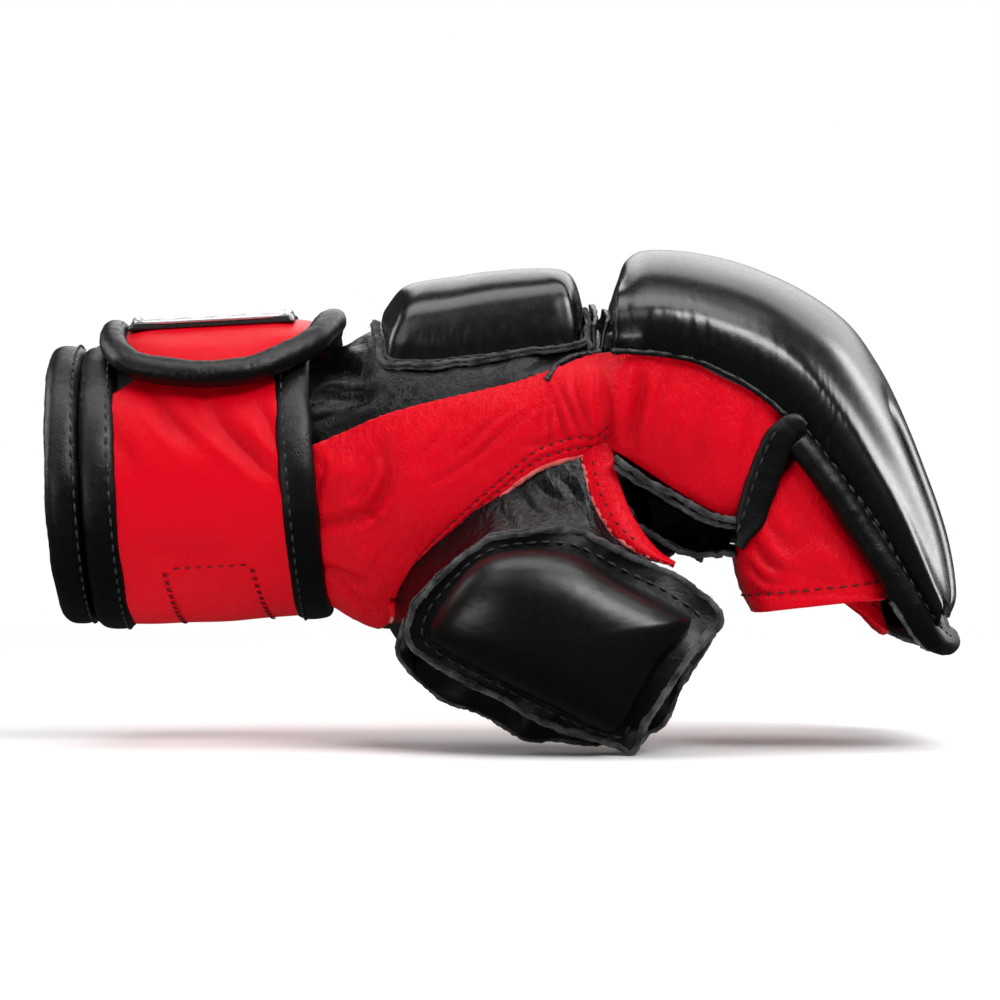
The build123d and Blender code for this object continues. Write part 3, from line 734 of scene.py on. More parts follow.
def badge():
    """A plain moulded badge: a raised silver rim round a dark field with slanting ribs."""
    turn_middle, turn_half, back_middle, back_half = 0.25, 16.25, 24.75, 22.25

    def on_badge(s, t, height):
        """A point of the badge and its normal, with s round the wrist and t along it, both from -1 to 1."""
        angle = turn_middle + s * turn_half
        return wrist(angle, height, back_middle + t * back_half), wrist_out(angle)

    s, t = lattice(np.linspace(-1, 1, 90), np.linspace(-1, 1, 90))
    corner = 0.985 + 0.015 * (1 - (np.abs(s) ** 8 + np.abs(t) ** 8) / 2)
    edge = np.maximum(np.abs(s), np.abs(t))
    height = 7.9 - 1.5 * smoothstep((edge - 0.93) / 0.07) - 0.35 * smoothstep((0.86 - edge) / 0.03)
    skin_piece("tab_badge", Skin(*on_badge(s * corner, t * corner, height)), "badge_black", TAB, thick=0.8)
    turn = np.linspace(0, 2 * np.pi, 260, endpoint=False)
    path, out = on_badge(0.9 * power(np.cos(turn), 7), 0.9 * power(np.sin(turn), 7), 7.8)
    skin_piece("badge_rim", tube_skin(path, out, (0.6, 1.1), 12, closed=True), "badge_silver", TAB)
    across = np.linspace(-0.62, 0.62, 40)
    for k, middle in enumerate((-0.5, -0.17, 0.17, 0.5)):
        path, out = on_badge(across, middle + 0.16 * across, 7.5)
        skin_piece(f"badge_rib_{k}", tube_skin(path, out, (0.55, 1.5), 12), "badge_silver", TAB, capped=True)


# ------------------------------------------------------------------ the hand
# x, the height of the middle, half the height and half the width of the hand's form
HAND_FORM = smooth([(-60, 71, 30, 34.5), (-46, 71, 32.5, 36.5), (-30, 70.8, 39.6, 41.5),
                    (-14, 72.6, 38, 44.2), (0, 77, 34, 46), (12, 83.2, 27, 47.4), (24, 89, 20.5, 48.5),
                    (38, 93.5, 15, 49.6)], 500)
# How square the form's section is: 2 is an oval
SQUARE = 2.3
# (x, z) along the top seams, and (x, angle) along the arched seam round the thumb
SEAM = smooth([(-52, 76.5), (-38, 82.6), (-25, 87.6), (0, 93.6), (13.8, 97.8), (22, 101.0),
               (28.2, 101.4)], 160)
PAD_SEAM = [(28.2, 101.4), (38.4, 100.9), (49, 98.9), (59, 94.2), (68.1, 88.5), (76, 82.1), (83, 72.9),
            (92.9, 60), (101.6, 45.2), (109, 34)]
ARCH = [(-26.8, 151), (-26.2, 140), (-20.5, 123.5), (-10, 112), (0, 106), (8, 104.5), (15.5, 110), (21, 117)]
SHELL_FOLDS = [
    ([(-50, 96), (-43, 99), (-35, 97)], 2.2, 1.6), ([(-50, 90), (-42, 91), (-34, 92)], 1.7, 1.3),
    ([(-50, 101), (-44, 105), (-37, 107)], 2.0, 1.2), ([(-48, 84), (-40, 88), (-31, 92)], 1.6, 0.9),
    ([(10, 99), (16, 103), (22, 104)], 1.6, 0.7), ([(4, 97), (10, 101), (13, 103)], 1.3, 0.5),
]
SHEET_SWELLS = [
    ([(-46, 70), (-40, 72), (-34, 70)], 7.0, -2.4), ([(-46, 53), (-38, 54), (-31, 49)], 5.5, -1.6),
    ([(-44, 43), (-38, 41), (-33, 37)], 4.0, -1.0), ([(21.5, 99), (22, 90), (22.5, 80)], 2.4, -1.0),
    ([(30, 99), (29.5, 90), (29, 82)], 2.2, -0.9),
]
SHEET_FOLDS = [
    ([(-30, 79), (-28.6, 71), (-32, 63), (-38.8, 60), (-47, 59)], 1.5, 1.7),
    ([(-33, 77), (-32, 71), (-36, 65.5)], 1.0, 0.9), ([(-36, 66), (-33, 62), (-29.5, 58.5)], 0.9, 0.7),
    ([(-41, 64), (-38, 61.5), (-36, 62.5)], 0.8, 0.6), ([(-46, 48.5), (-40, 46.5), (-33, 44)], 1.2, 1.1),
    ([(-41, 46), (-36, 40), (-32, 36)], 1.0, 0.8), ([(-47, 76), (-44.5, 73), (-46, 66)], 1.0, 0.7),
    ([(-26, 78), (-25.5, 71), (-29, 64)], 1.6, 0.5), ([(5, 87), (-1, 81), (-8, 74)], 0.8, 0.5),
    ([(8, 88), (3, 83), (-4, 76.5)], 0.8, 0.45), ([(2, 88), (-5, 82), (-11, 76)], 0.9, 0.4),
    ([(-12, 86), (-16, 80), (-20, 76)], 1.0, 0.35), ([(11.5, 93), (9.5, 86), (8.2, 77.5)], 0.8, 0.75),
    ([(12.4, 93), (12, 86), (12.4, 77)], 0.7, 0.8), ([(13.2, 93), (14.6, 86), (16.6, 79)], 0.8, 0.9),
    ([(14.5, 94), (17, 88), (20, 81)], 0.9, 0.9), ([(18.5, 98), (18.8, 91), (22, 83)], 0.9, 0.6),
    ([(25.4, 99), (25.6, 90), (26.6, 78)], 1.4, 2.0), ([(34.6, 98), (34.4, 90), (31.6, 78)], 1.5, 1.7),
    ([(41, 98), (39.5, 88), (37, 78)], 1.5, 0.5), ([(52, 95), (50.5, 84), (47, 70)], 2.0, 0.35),
    ([(63, 89), (61, 80), (58, 70)], 1.6, 0.45), ([(45, 90), (42, 80), (40, 74)], 1.2, 0.3),
    ([(4, 79), (10, 79), (16, 82)], 0.9, 0.4), ([(-20, 68), (-12, 72), (-4, 78)], 1.0, 0.35),
]


def form(x):
    """The middle's height, half the height and half the width of the hand's form."""
    return [np.interp(x, HAND_FORM[:, 0], HAND_FORM[:, k]) for k in (1, 2, 3)]


def hand(x, angle, out):
    """A point on the hand's form: angle from the top towards the thumb side."""
    middle, height, width = form(x)
    a = np.radians(angle)
    y = -(width + out) * power(np.sin(a), SQUARE)
    return surface(x, y, middle + (height + out) * power(np.cos(a), SQUARE))


def hand_top(x, y):
    """The height of the hand's form over a place."""
    middle, height, width = form(x)
    return middle + height * (1 - np.clip(np.abs(y / width), 0, 1) ** SQUARE) ** (1 / SQUARE)


def hand_angle(x, z):
    """The angle at which the hand's form has a given height, on the thumb side."""
    middle, height, _ = form(x)
    c = np.clip((z - middle) / height, -1, 1)
    return np.degrees(np.arccos(np.sign(c) * np.abs(c) ** (SQUARE / 2)))


def from_axis(points):
    """Outward from the middle of the hand."""
    middle = form(points[..., 0])[0]
    return points - surface(points[..., 0], 0, middle)


def from_rings(grid):
    """Outward from the middle of each row."""
    return grid - grid.mean(1, keepdims=True)


def back_shell():
    """The black leather over the back of the hand, wrinkled where the strap squeezes it."""
    x = np.linspace(-54, 25.5, 150)
    edge = hand_angle(x, np.interp(x, SEAM[:, 0], SEAM[:, 1])) + 4
    skin = Skin(hand(x[:, None], edge[:, None] * np.linspace(-1, 1, 150), -0.3), from_axis)
    skin.lumps(0.7, 13, 2)
    for side in (-1, 1):
        skin.folds(SHELL_FOLDS, 0.5, where=skin.points[..., 1] * side > 0)
    near_strap = smoothstep((-30 - skin.points[..., 0]) / 16)
    skin.veins(0.16, 9, 13, (0.7, 1, 1.3), near_strap)
    skin.lumps(0.3, 4.0, 8, (0.5, 1, 1), near_strap)
    skin_piece("back_shell", skin, "black_wrinkled", HAND, thick=1.4)


def side_sheet(side):
    """The red leather from wrist strap to finger opening, one sheet across the knuckle joint.

    side is -1 for the thumb's side and 1 for the other one.
    """
    front_top = smooth([(28.2, 101.9), (38.4, 101.3), (49, 99.2), (59, 94.6), (66, 89.8), (70.6, 85.4)], 70)
    front_low = smooth([(26.6, 78.8), (31, 76), (39, 70.6), (47.3, 65.4), (54, 62.0), (59.6, 60.2)], 70)
    rear_top = resample(SEAM[SEAM[:, 0] < -25], 34)[:-1]
    middle_top = resample(SEAM[(SEAM[:, 0] >= -25) & (SEAM[:, 0] < 26)], 84)[:-1]
    top = np.vstack([rear_top, middle_top, front_top])
    if side < 0:
        rear_low = resample([(-54, 166), (-40, 166), (-31, 163), ARCH[0]], 34)[:-1]
        middle_low = smooth([*ARCH, (24.2, 122)], 84)[:-1]
    else:
        rear_low = resample([(-54, 148), (-31, 149), (-26, 150)], 34)[:-1]
        middle_low = resample([(-26, 150), (-5, 152), (14, 150), (24.2, 132)], 84)[:-1]
    front = len(rear_low) + len(middle_low)
    front_angle = np.column_stack([front_low[:, 0], hand_angle(front_low[:, 0], front_low[:, 1])])
    low = np.vstack([rear_low, middle_low, front_angle])
    top_angle = hand_angle(top[:, 0], top[:, 1])[:, None]
    share = np.linspace(0, 1, 110)[None]
    x = top[:, :1] + (low[:, :1] - top[:, :1]) * share
    grid = hand(x, top_angle + (low[:, 1:] - top_angle) * share, 0.6)
    flat_y = -(50.4 + 2.2 * np.sin(np.pi * share) - 2.6 * share)
    flat = surface(x[front:], flat_y, front_top[:, 1:] + (front_low[:, 1:] - front_top[:, 1:]) * share)
    weight = smoothstep((front_top[:, 0] - 21) / 13)[:, None, None]
    grid[front:] = grid[front:] * (1 - weight) + flat * weight
    skin = Skin(grid, from_axis)
    skin.lumps(0.55, 14, 5)
    skin.lumps(0.2, 5, 15)
    skin.folds(SHEET_SWELLS, 0.0)
    skin.folds(SHEET_FOLDS)
    skin.refresh()
    if side < 0:
        for distance in (2.8, 5.8):
            skin.furrow(distance, 0.32, 0.6, slice(len(rear_low) - 2, front))
    skin.pucker(0.3, 2.6, 6.0, 2)
    skin.pucker(0.15, 1.5, 3.0, 9)
    busy = smoothstep((-22 - skin.points[..., 0]) / 12) + bell((skin.points[..., 0] - 14) / 9)
    skin.veins(0.13, 3.4, 21, (1.0, 1.0, 0.6), np.clip(busy - 0.25, 0, 1))
    skin.refresh()
    if side > 0:
        skin.mirror()
    word = "index" if side < 0 else "little"
    nodes = [f"{word}_side_panel", f"{word}_finger_panel"]
    bend(skin_piece(f"{word}_side", skin, "red_soft", None, nodes, thick=1.5))
    if side < 0:
        arch_seam(Skin(skin.points[len(rear_low) - 3: front + 1], from_axis))


def arch_seam(part):
    """The double row of stitches and the pale cut edge round the thumb's opening."""
    for k, distance in enumerate((2.8, 5.8)):
        line, normals = part.line(distance, from_end=True, lift=-0.05)
        stitches(f"arch_stitch_{k}", line, normals, HAND, "thread_red", 1.5, 1.1, 0.3)
    edge, normals = part.line(0.0, from_end=True, lift=-0.45)
    inward = unit(part.points[:, -1] - part.points[:, -4])
    raw_edge("arch_edge", edge, inward, normals, HAND, 1, 1.9, "raw_red", 0.7, 4)


def seam_lip():
    """The black shell's cut edge, which laps over the top of the red leather."""
    x, z = smooth([(11.6, 95.2), (14.5, 99.2), (19, 101.4), (25.5, 102.2)], 60).T
    y = np.abs(hand(x, hand_angle(x, z), 1.4)[:, 1])
    pad_x, pad_z = smooth([(27.5, 102.2), (38.4, 101.7), (49, 99.7), (59, 95.1), (66, 90.4), (71, 86)], 120).T
    for side, mark in ((-1, "near"), (1, "far")):
        down, across = (0, 0.5 * side, -0.8), (0, side, 0.2)
        line = surface(x, y * side, z)
        raw_edge(f"seam_lip_{mark}", line, down, across, HAND, 1, 0.7, "black_leather", seed=61)
        line = surface(pad_x, 51.9 * side, pad_z)
        raw_edge(f"pad_lip_{mark}", line, down, across, KNUCKLE, 1, 0.6, "black_leather", seed=62)


def thumb_web():
    """The tail of red leather between the thumb and the palm."""
    left = smooth([(18.5, -42.6, 80.5), (20.9, -46.0, 73.5), (22.9, -48.8, 65.5), (27.6, -51.6, 57.3),
                   (34, -54.2, 52.4), (42.2, -56, 48.9)], 60)
    right = smooth([(28.5, -43.2, 83.5), (28.4, -46.2, 76.5), (29.9, -48.2, 69.0), (33.6, -50.2, 60.5),
                    (38.6, -53, 53.6), (43.4, -55.6, 50.2)], 60)
    share = np.linspace(0, 1, 20)[None, :, None]
    grid = left[:, None] + (right - left)[:, None] * share
    grid[..., 1] -= 1.1 * np.sin(np.pi * share[..., 0])
    skin = Skin(grid, THUMB_SIDE)
    skin.lumps(0.25, 5, 3)
    skin_piece("thumb_web", skin, "red_soft", HAND, thick=1.4)
    edge, normals = skin.line(0.0, lift=-0.6)
    outward = unit(skin.points[6:, 0] - skin.points[6:, 2])
    raw_edge("web_edge", edge[6:], outward, normals[6:], HAND, 1, 1.4, "raw_red", 0.7, 6)
    line, normals = skin.line(2.6, lift=-0.05)
    stitches("web_stitch", line[8:44], normals[8:44], HAND, "thread_red", 1.5, 1.3, 0.24)


def palm_and_lining():
    """The palm's leather, and the lining inside the hand, which is open where the thumb goes through."""
    x = np.linspace(-54, 24.5, 100)[:, None]
    near = 158 - 10 * smoothstep((x + 34) / 14)
    palm = Skin(hand(x, near + (213 - near) * np.linspace(0, 1, 60), -0.6), from_axis)
    palm.lumps(0.8, 15, 6)
    palm.lumps(0.25, 3, 2, (1, 0.5, 1))
    skin_piece("palm_panel", palm, "black_leather", HAND, thick=1.3)
    x, angle = lattice(np.linspace(-52, 23.5, 90), np.linspace(0, 360, 150, endpoint=False))
    lining = Skin(hand(x, angle, -3.8), lambda g: -from_axis(g), close_v=True)
    lining.lumps(0.5, 10, 4)
    arch_x, arch_angle = smooth(ARCH, 80).T
    opening = (x > -27) & (x < 21) & (angle > np.interp(x, arch_x, arch_angle)) & (angle < 150)
    skin_piece("hand_lining", lining, "lining", HAND, keep=~opening)


# ------------------------------------------------------------------ the back-of-hand pad
PAD_CENTRE = np.array([-4.5, 0.0])
# One side of the pad's outline, and its (scale, height) from the flange up to the middle of the crown
PAD_SIDE = [(-29.2, -26), (-28.2, -30.4), (-24, -32.2), (-10, -33.6), (5, -34.6), (16, -35.2), (20, -32.5),
            (21.3, -16), (21.8, 0)]
PAD_RISE = [(1.0, -0.6), (1.0, 1.6), (1.0, 4.0), (0.985, 6.5), (0.965, 8.6), (0.935, 10.4), (0.89, 11.7),
            (0.82, 12.5), (0.7, 13.0), (0.5, 13.3), (0.25, 13.4), (0.02, 13.4)]


def back_pad():
    """A rounded block sewn down through a raw-edged flange."""
    far_side = [(x, -y) for x, y in reversed(PAD_SIDE[:-1])]
    ring = smooth([*PAD_SIDE, *far_side, (-30.4, 16), (-30.8, 0), (-30.4, -16)], 280, closed=True)
    profile = smooth(PAD_RISE, 46)
    rows = []
    for scale, height in profile:
        xy = PAD_CENTRE + (ring - PAD_CENTRE) * scale
        x, y = xy.T
        lean = max(height, 0.0) * (0.24 * smoothstep((-4 - x) / 22) - 0.1 * smoothstep((x - 4) / 16))
        height = height * (1 + 0.2 * (x - PAD_CENTRE[0]) / 25 * smoothstep(max(height, 0.0) / 9))
        z = hand_top(np.clip(x, -40, 23), y)
        level = 0.2 * (z - 110) * smoothstep(height / 10)
        rows.append(surface(x + lean, y * (1 - 0.003 * height), z + height - level))
    skin = Skin(np.stack(rows, 1), (0, 0, 1), close_u=True)
    skin.points[:, -1] = skin.points[:, -1].mean(0)
    wrinkle = ripple(skin.points * [1.0, 1.0, 0.22], 1.5, 3) * bell((profile[:, 1][None] - 2.5) / 4.5)
    skin.push(0.2 * wrinkle)
    skin.lumps(0.2, 14, 7)
    skin.crease = np.clip(-wrinkle, 0, 1) * 0.3
    cover = skin_piece("back_pad_cover", skin, "black_pad", HAND, ["back_pad_foam"])
    back_flange(ring)


def back_flange(ring):
    """The wavy flange that sews the pad down, with its cut edge and its stitches."""
    wave = np.sin(np.linspace(0, 2 * np.pi, 280, endpoint=False) * 23) * ripple(surface(*ring.T, 0), 11, 2)
    rows = []
    for k, t in enumerate(np.linspace(0, 1, 14)):
        scale = (0.97 + 0.085 * t) * (1 + 0.012 * wave * (k > 6))
        x, y = (PAD_CENTRE + (ring - PAD_CENTRE) * scale[:, None]).T
        rows.append(surface(x, y, hand_top(np.clip(x, -40, 24.5), y) + 0.5 + t**2))
    flange = Skin(np.stack(rows, 1), (0, 0, 1), close_u=True)
    flange.lumps(0.25, 4, 3)
    skin_piece("back_pad_flange", flange, "black_leather", HAND, thick=1.2)
    edge, outward, normals = rim(flange)
    raw_edge("back_pad_edge", edge, outward, normals, HAND, 2, 1.9, fuzz=1.3, seed=3)
    middle, normals = loop(flange.points[:, 8] + flange.normals[:, 8] * 0.1), loop(flange.normals[:, 8])
    stitches("back_pad_stitch", middle, normals, HAND, radius=0.3)


def flex_flaps():
    """The upright cut edges of leather in the groove between the pads, and the leather under them."""
    y, across = np.linspace(-38, 38, 120)[:, None], np.linspace(0, 1, 14)[None]
    for k, (x, lean, tall) in enumerate(((22.9, -0.2, 4.6), (24.4, 0.02, 6.2), (26.2, 0.3, 5.2))):
        crest = tall * (0.75 + 0.25 * np.cos(y / 9.0 + k)) * smoothstep((39 - np.abs(y)) / 9)
        wave = 0.5 * np.sin(y / 4.0 + k) * across
        z = hand_top(x, y) - 1.5 + (crest + 1.5) * across
        skin = Skin(surface(x + lean * across * crest + wave, y, z), (1, 0, 0))
        skin.lumps(0.35, 4, 3 + k)
        body, nodes = (None, ()) if k else (HAND, ["flex_gusset"])
        flap = skin_piece(f"flex_flap_{k}", skin, "black_wrinkled", body, nodes, thick=1.1)
        if k:
            bend(flap)
        else:
            upward = skin.points[:, -1] - skin.points[:, -3]
            raw_edge("flap_edge", skin.points[:, -1], upward, (1, 0, 0), HAND, 1, 1.2, seed=8)
    x, y = lattice(np.linspace(20, 31, 30), np.linspace(-47, 47, 110))
    low_x = np.minimum(x, 30)
    y_top = np.clip(y, -0.995 * form(low_x)[2], 0.995 * form(low_x)[2])
    bridge = Skin(surface(x, y, hand_top(low_x, y_top) - 1.8 * bell((x - 26) / 3.0)), (0, 0, 1))
    bridge.lumps(0.5, 4, 9)
    bend(skin_piece("flex_bridge", bridge, "black_wrinkled", None, thick=1.2))


# ------------------------------------------------------------------ the knuckle pad
# (x, z) from the rear to the front of the pad, along its shoulder and along the middle of its top
SHOULDER = [(29.3, 116.6), (36.3, 117.6), (47, 116.8), (57.7, 113.5), (68.4, 108.6), (77.2, 101.6),
            (86.4, 90.1), (94.8, 75.7), (102.8, 60.8), (110.4, 41.5)]
CROWN = [(31.0, 122.8), (32.6, 127.0), (37.6, 129.7), (49.1, 129.2), (64, 125.6), (79, 118.8), (90.2, 110.5),
         (97.6, 100.1), (103, 89.7), (108.9, 74.1), (114.8, 56.9), (117.2, 41.5), (115.6, 34.6)]
# (y, level) across the pad: level 0 is its seam, 1 its shoulder and 2 its crown
PAD_LEVELS = [(-51.6, 0.0), (-53.0, 0.33), (-52.0, 0.7), (-47.6, 1.0), (-41, 1.36), (-31, 1.66),
              (-16, 1.92), (0, 2.0)]
FINGER_WIDTH = 25.0
# y of the grooves that part it into lobes, and a point inside it
LOBES = (-FINGER_WIDTH, 0.0, FINGER_WIDTH)
PAD_INSIDE = np.array([52, 0, 84.0])
PAD_ROWS = 210
# (x, y, z) along the piping on the thumb side, from the rear to the front
PIPE = np.array([(73.6, -51.2, 79.6), (78.5, -51.8, 73.8), (84.0, -51.8, 66.3), (95.0, -51.0, 49.6),
                 (103.2, -48.6, 36.8), (108.2, -43.5, 31.0), (112.6, -29.0, 29.4), (114.2, -14, 29.4)])


def knuckle_pad():
    """The long pad over the fingers, lofted through sections from its rear to its front."""
    seam, shoulder, crown = (smooth(line, PAD_ROWS) for line in (PAD_SEAM, SHOULDER, CROWN))
    u = np.linspace(0, 1, PAD_ROWS)
    narrow = 1 - 0.055 * smoothstep((u - 0.72) / 0.28) - 0.06 * smoothstep((0.09 - u) / 0.09) ** 1.5
    levels = PAD_LEVELS + [(-y, level) for y, level in reversed(PAD_LEVELS[:-1])]
    sections = []
    for i in range(PAD_ROWS):
        row = []
        for y, level in levels:
            a, b, t = (seam[i], shoulder[i], level) if level <= 1 else (shoulder[i], crown[i], level - 1)
            x, z = a + (b - a) * t
            row.append((x, y * narrow[i], z))
        sections.append(smooth(row, 230))
    grid = np.stack(sections)
    skin = Skin(grid, lambda g: g - PAD_INSIDE)
    part_lobes(skin, u, seam)
    gather_sides(skin, u)
    pad_cover(skin)
    pad_lining(grid, seam)
    line, normals = skin.line(0.4, lift=0.1)
    stitches("pad_seam_stitch", line[96:190], normals[96:190], KNUCKLE, radius=0.32)


def part_lobes(skin, u, seam):
    """Presses the grooves between the fingers, which deepen towards the front."""
    y = skin.points[..., 1]
    start = smoothstep((u - 0.56) / 0.16)[:, None]
    end = 1 - 0.35 * smoothstep((u - 0.93) / 0.07)[:, None]
    front = smoothstep((skin.points[..., 0] - (seam[:, 0] + 3)[:, None]) / 8)
    for centre in LOBES:
        valley = np.exp(-np.abs((y - centre) / 3.4) ** 1.5)
        skin.push(-5.8 * valley * start * end * front)
        skin.crease = np.maximum(skin.crease, bell((y - centre) / 1.3) * start * front)
    skin.push(0.45 * np.cos(np.pi * (y / FINGER_WIDTH - 0.5) * 2) * start * front * (np.abs(y) < 50))
    skin.refresh()


def gather_sides(skin, u):
    """Wrinkles that run off the pad's side seams, most of them towards the rear."""
    d = distances(skin.points)
    d = np.minimum(d, d[:, -1:] - d)
    s = lengths(skin.points[:, 8])[:, None]
    strands = surface(s + 0.25 * d, 0.14 * d, 0)
    radial = 0.65 * ripple(strands, 1.3, 8) + 0.5 * ripple(strands, 0.8, 3)
    radial = radial * (0.6 + 0.5 * ripple(skin.points, 11, 8))
    reach = bell((d - 6) / 9.0) * (1 - 0.85 * smoothstep((u - 0.42) / 0.3))[:, None]
    skin.push(0.34 * radial * reach)
    skin.lumps(0.22, 1.9, 4, mask=np.exp(-d / 3.0))
    skin.crease = np.maximum(skin.crease, np.clip(-radial, 0, 1) * reach * 0.25)
    skin.lumps(0.22, 17, 5)
    skin.refresh()


def pad_cover(skin):
    """The pad's cover, with its rear and front ends drawn together and closed."""
    count = 14
    ends = []
    rear, front = (skin.points[0], 31.0, 108.0, (-1.6, 0, 0)), (skin.points[-1], 110.5, 36.0, (0.4, 0, -1.4))
    for row, x, z, bulge in (rear, front):
        target = surface(x, row[:, 1] * 0.2, z)
        rows = []
        for t in np.linspace(0.06, 1, count):
            swell = math.sin(math.pi * min(1, t * 1.6) / 2) * (1 if t < 1 else 0.9)
            rows.append(row * (1 - t) + target * t + np.array(bulge) * swell)
        ends.append(rows)
    cover = Skin(np.concatenate([ends[0][::-1], skin.points, ends[1]]), lambda g: g - PAD_INSIDE)
    cover.crease[count:-count] = skin.crease
    foams = ["knuckle_foam_base", "knuckle_foam_top"]
    obj = skin_piece("knuckle_pad_cover", cover, "black_pad", KNUCKLE, foams)


def pad_lining(grid, seam):
    """The lining under the pad, arched up between its two side seams."""
    share = np.linspace(0, 1, 90)[None, :, None]
    inset = np.array([1, 0.985, 1])
    low = grid[:, :1] * inset + (grid[:, -1:] - grid[:, :1]) * inset * share
    inward = unit(surface(-np.gradient(seam[:, 1]), 0, np.gradient(seam[:, 0])))[:, None]
    low = low + inward * 4.5 * np.sin(np.pi * share)
    under = Skin(low, lambda g: np.array([52, 0, 60]) - g)
    under.lumps(0.8, 11, 3)
    skin_piece("knuckle_pad_lining", under, "lining", KNUCKLE, thick=1.2)


def piping():
    """The rolled edge round the pad's sides and front, and the strip that joins it to the pad in front."""
    path = smooth(np.vstack([PIPE, [(114.6, 0, 29.4)], PIPE[::-1] * MIRROR]), 320)
    tangent = unit(np.gradient(path, axis=0))
    out = unit(np.cross(tangent, np.cross(unit(path - [70, 0, 90.0]), tangent)))
    roll = tube_skin(path, out, (3.5, 3.5), 26)
    roll.lumps(0.3, 8, 4)
    roll.lumps(0.14, 2.0, 7)
    roll.lumps(0.1, 0.7, 2, (0.4, 0.4, 0.4), smoothstep((roll.points[..., 0] - 96) / 8))
    skin_piece("knuckle_piping", roll, "black_leather", KNUCKLE, capped=True)
    y = np.linspace(-47.5, 47.5, 120)
    x, z = (np.interp(y, path[:, 1], path[:, k])[:, None] for k in (0, 2))
    rise = smooth([(-3.5, 10.5), (-1.0, 7.5), (0.6, 4.5), (0.9, 2.0), (0.2, -0.5)], 16)
    strip = Skin(surface(x + rise[None, :, 0], y[:, None], z + rise[None, :, 1]), (1.0, 0, 0))
    strip.lumps(0.35, 2.2, 6, (1, 1, 0.3))
    skin_piece("knuckle_front_strip", strip, "black_leather", KNUCKLE, thick=1.2)
    side = unit(out * 0.35 + unit(np.array([0.8, 0, 0.6])))
    line = path + side * 3.45
    lower = unit(np.array([-0.9, 0, -0.35]) + out * 0.2)
    edge = path + lower * 3.3
    for name, sewn in (("near", slice(12, 120)), ("far", slice(200, 308))):
        stitches(f"piping_stitch_{name}", line[sewn], side[sewn], KNUCKLE, radius=0.3)
    for name, cut in (("near", slice(70, 122)), ("far", slice(198, 250))):
        raw_edge(f"piping_edge_{name}", edge[cut], lower[cut], (0, 1, 0), KNUCKLE, 2, 2.2, fuzz=1.4, seed=12)


# ------------------------------------------------------------------ finger sleeves and palm
# name, how far the sleeve stands forward and up, and how much its hem rises towards the back of the finger
SLEEVES = (("index", 0.0, -1.9, 3.6), ("middle", 3.0, 0.6, -9.0), ("ring", 5.5, 0.8, -9.5),
           ("little", 7.5, 0.8, -10.0))
SLEEVE_FOLDS = [
    ([(62, 57), (67, 51), (71, 49)], 1.3, 1.1), ([(61, 52), (65, 47.5), (70, 46.5)], 1.1, 1.0),
    ([(66, 62), (72, 55), (76, 53)], 1.5, 0.9), ([(61, 47), (64, 44.5), (68, 44)], 1.0, 0.8),
    ([(72, 68), (76, 60), (82, 56)], 1.8, 0.7), ([(70, 60), (77, 50), (86, 46)], 2.0, 0.5),
    ([(80, 62), (86, 52), (90, 46)], 1.8, 0.5),
]


def finger_sleeve(i, name, dx, dz, tilt):
    """A red loop round one finger, squarish in section, with a stitched hem."""
    hem = 39.2 + dz
    z = np.concatenate([np.linspace(hem, hem + 5, 8)[:-1], np.linspace(hem + 5, 77.5, 46)])[:, None]
    heights = [hem, hem + 5, hem + 14, hem + 22, 67, 77.5]
    palm_x = np.interp(z, heights, [63.7 + dx, 61.2 + dx, 59.3 + dx, 60.6 + dx, 66.5 + dx * 0.5, 74.0])
    back_x = np.interp(z, [hem, hem + 7, 60, 70, 77.5], [96.5 + dx * 0.9, 94.0 + dx * 0.9, 86.2, 80.2, 76.5])
    turn = np.linspace(0, 2 * np.pi, 110, endpoint=False)[None]
    x = (palm_x + back_x) / 2 + (back_x - palm_x) / 2 * power(np.cos(turn), 4.2)
    y = (i - 1.5) * FINGER_WIDTH + 12.3 * power(np.sin(turn), 4.2)
    share = (x - palm_x) / (back_x - palm_x)
    slope = tilt * (share if i == 0 else np.clip((share - 0.6) / 0.4, 0, 1) ** 1.2)
    skin = Skin(surface(x, y, z + slope * smoothstep((hem + 20 - z) / 20)), from_rings, close_v=True)
    skin.push(0.9 * bell((skin.points[..., 2] - hem - 13) / 10))
    skin.lumps(0.5, 10, 3 + i)
    skin.folds([([(x + dx, z + dz) for x, z in line], width, depth) for line, width, depth in SLEEVE_FOLDS])
    skin.lumps(0.16, 1.8, 5 + i, (0.8, 1, 1))
    skin.push(-0.35 * bell((skin.points[..., 2] - hem - 4.6) / 0.8))
    skin.refresh()
    skin_piece(f"finger_sleeve_{name}", skin, "red_soft", KNUCKLE, [f"sleeve_hem_{name}"], thick=1.3)
    line, normals = loop(skin.points[6] + skin.normals[6] * 0.12), loop(skin.normals[6])
    stitches(f"sleeve_stitch_{name}", line, normals, KNUCKLE, "thread_red", 1.9, 1.2, 0.27)


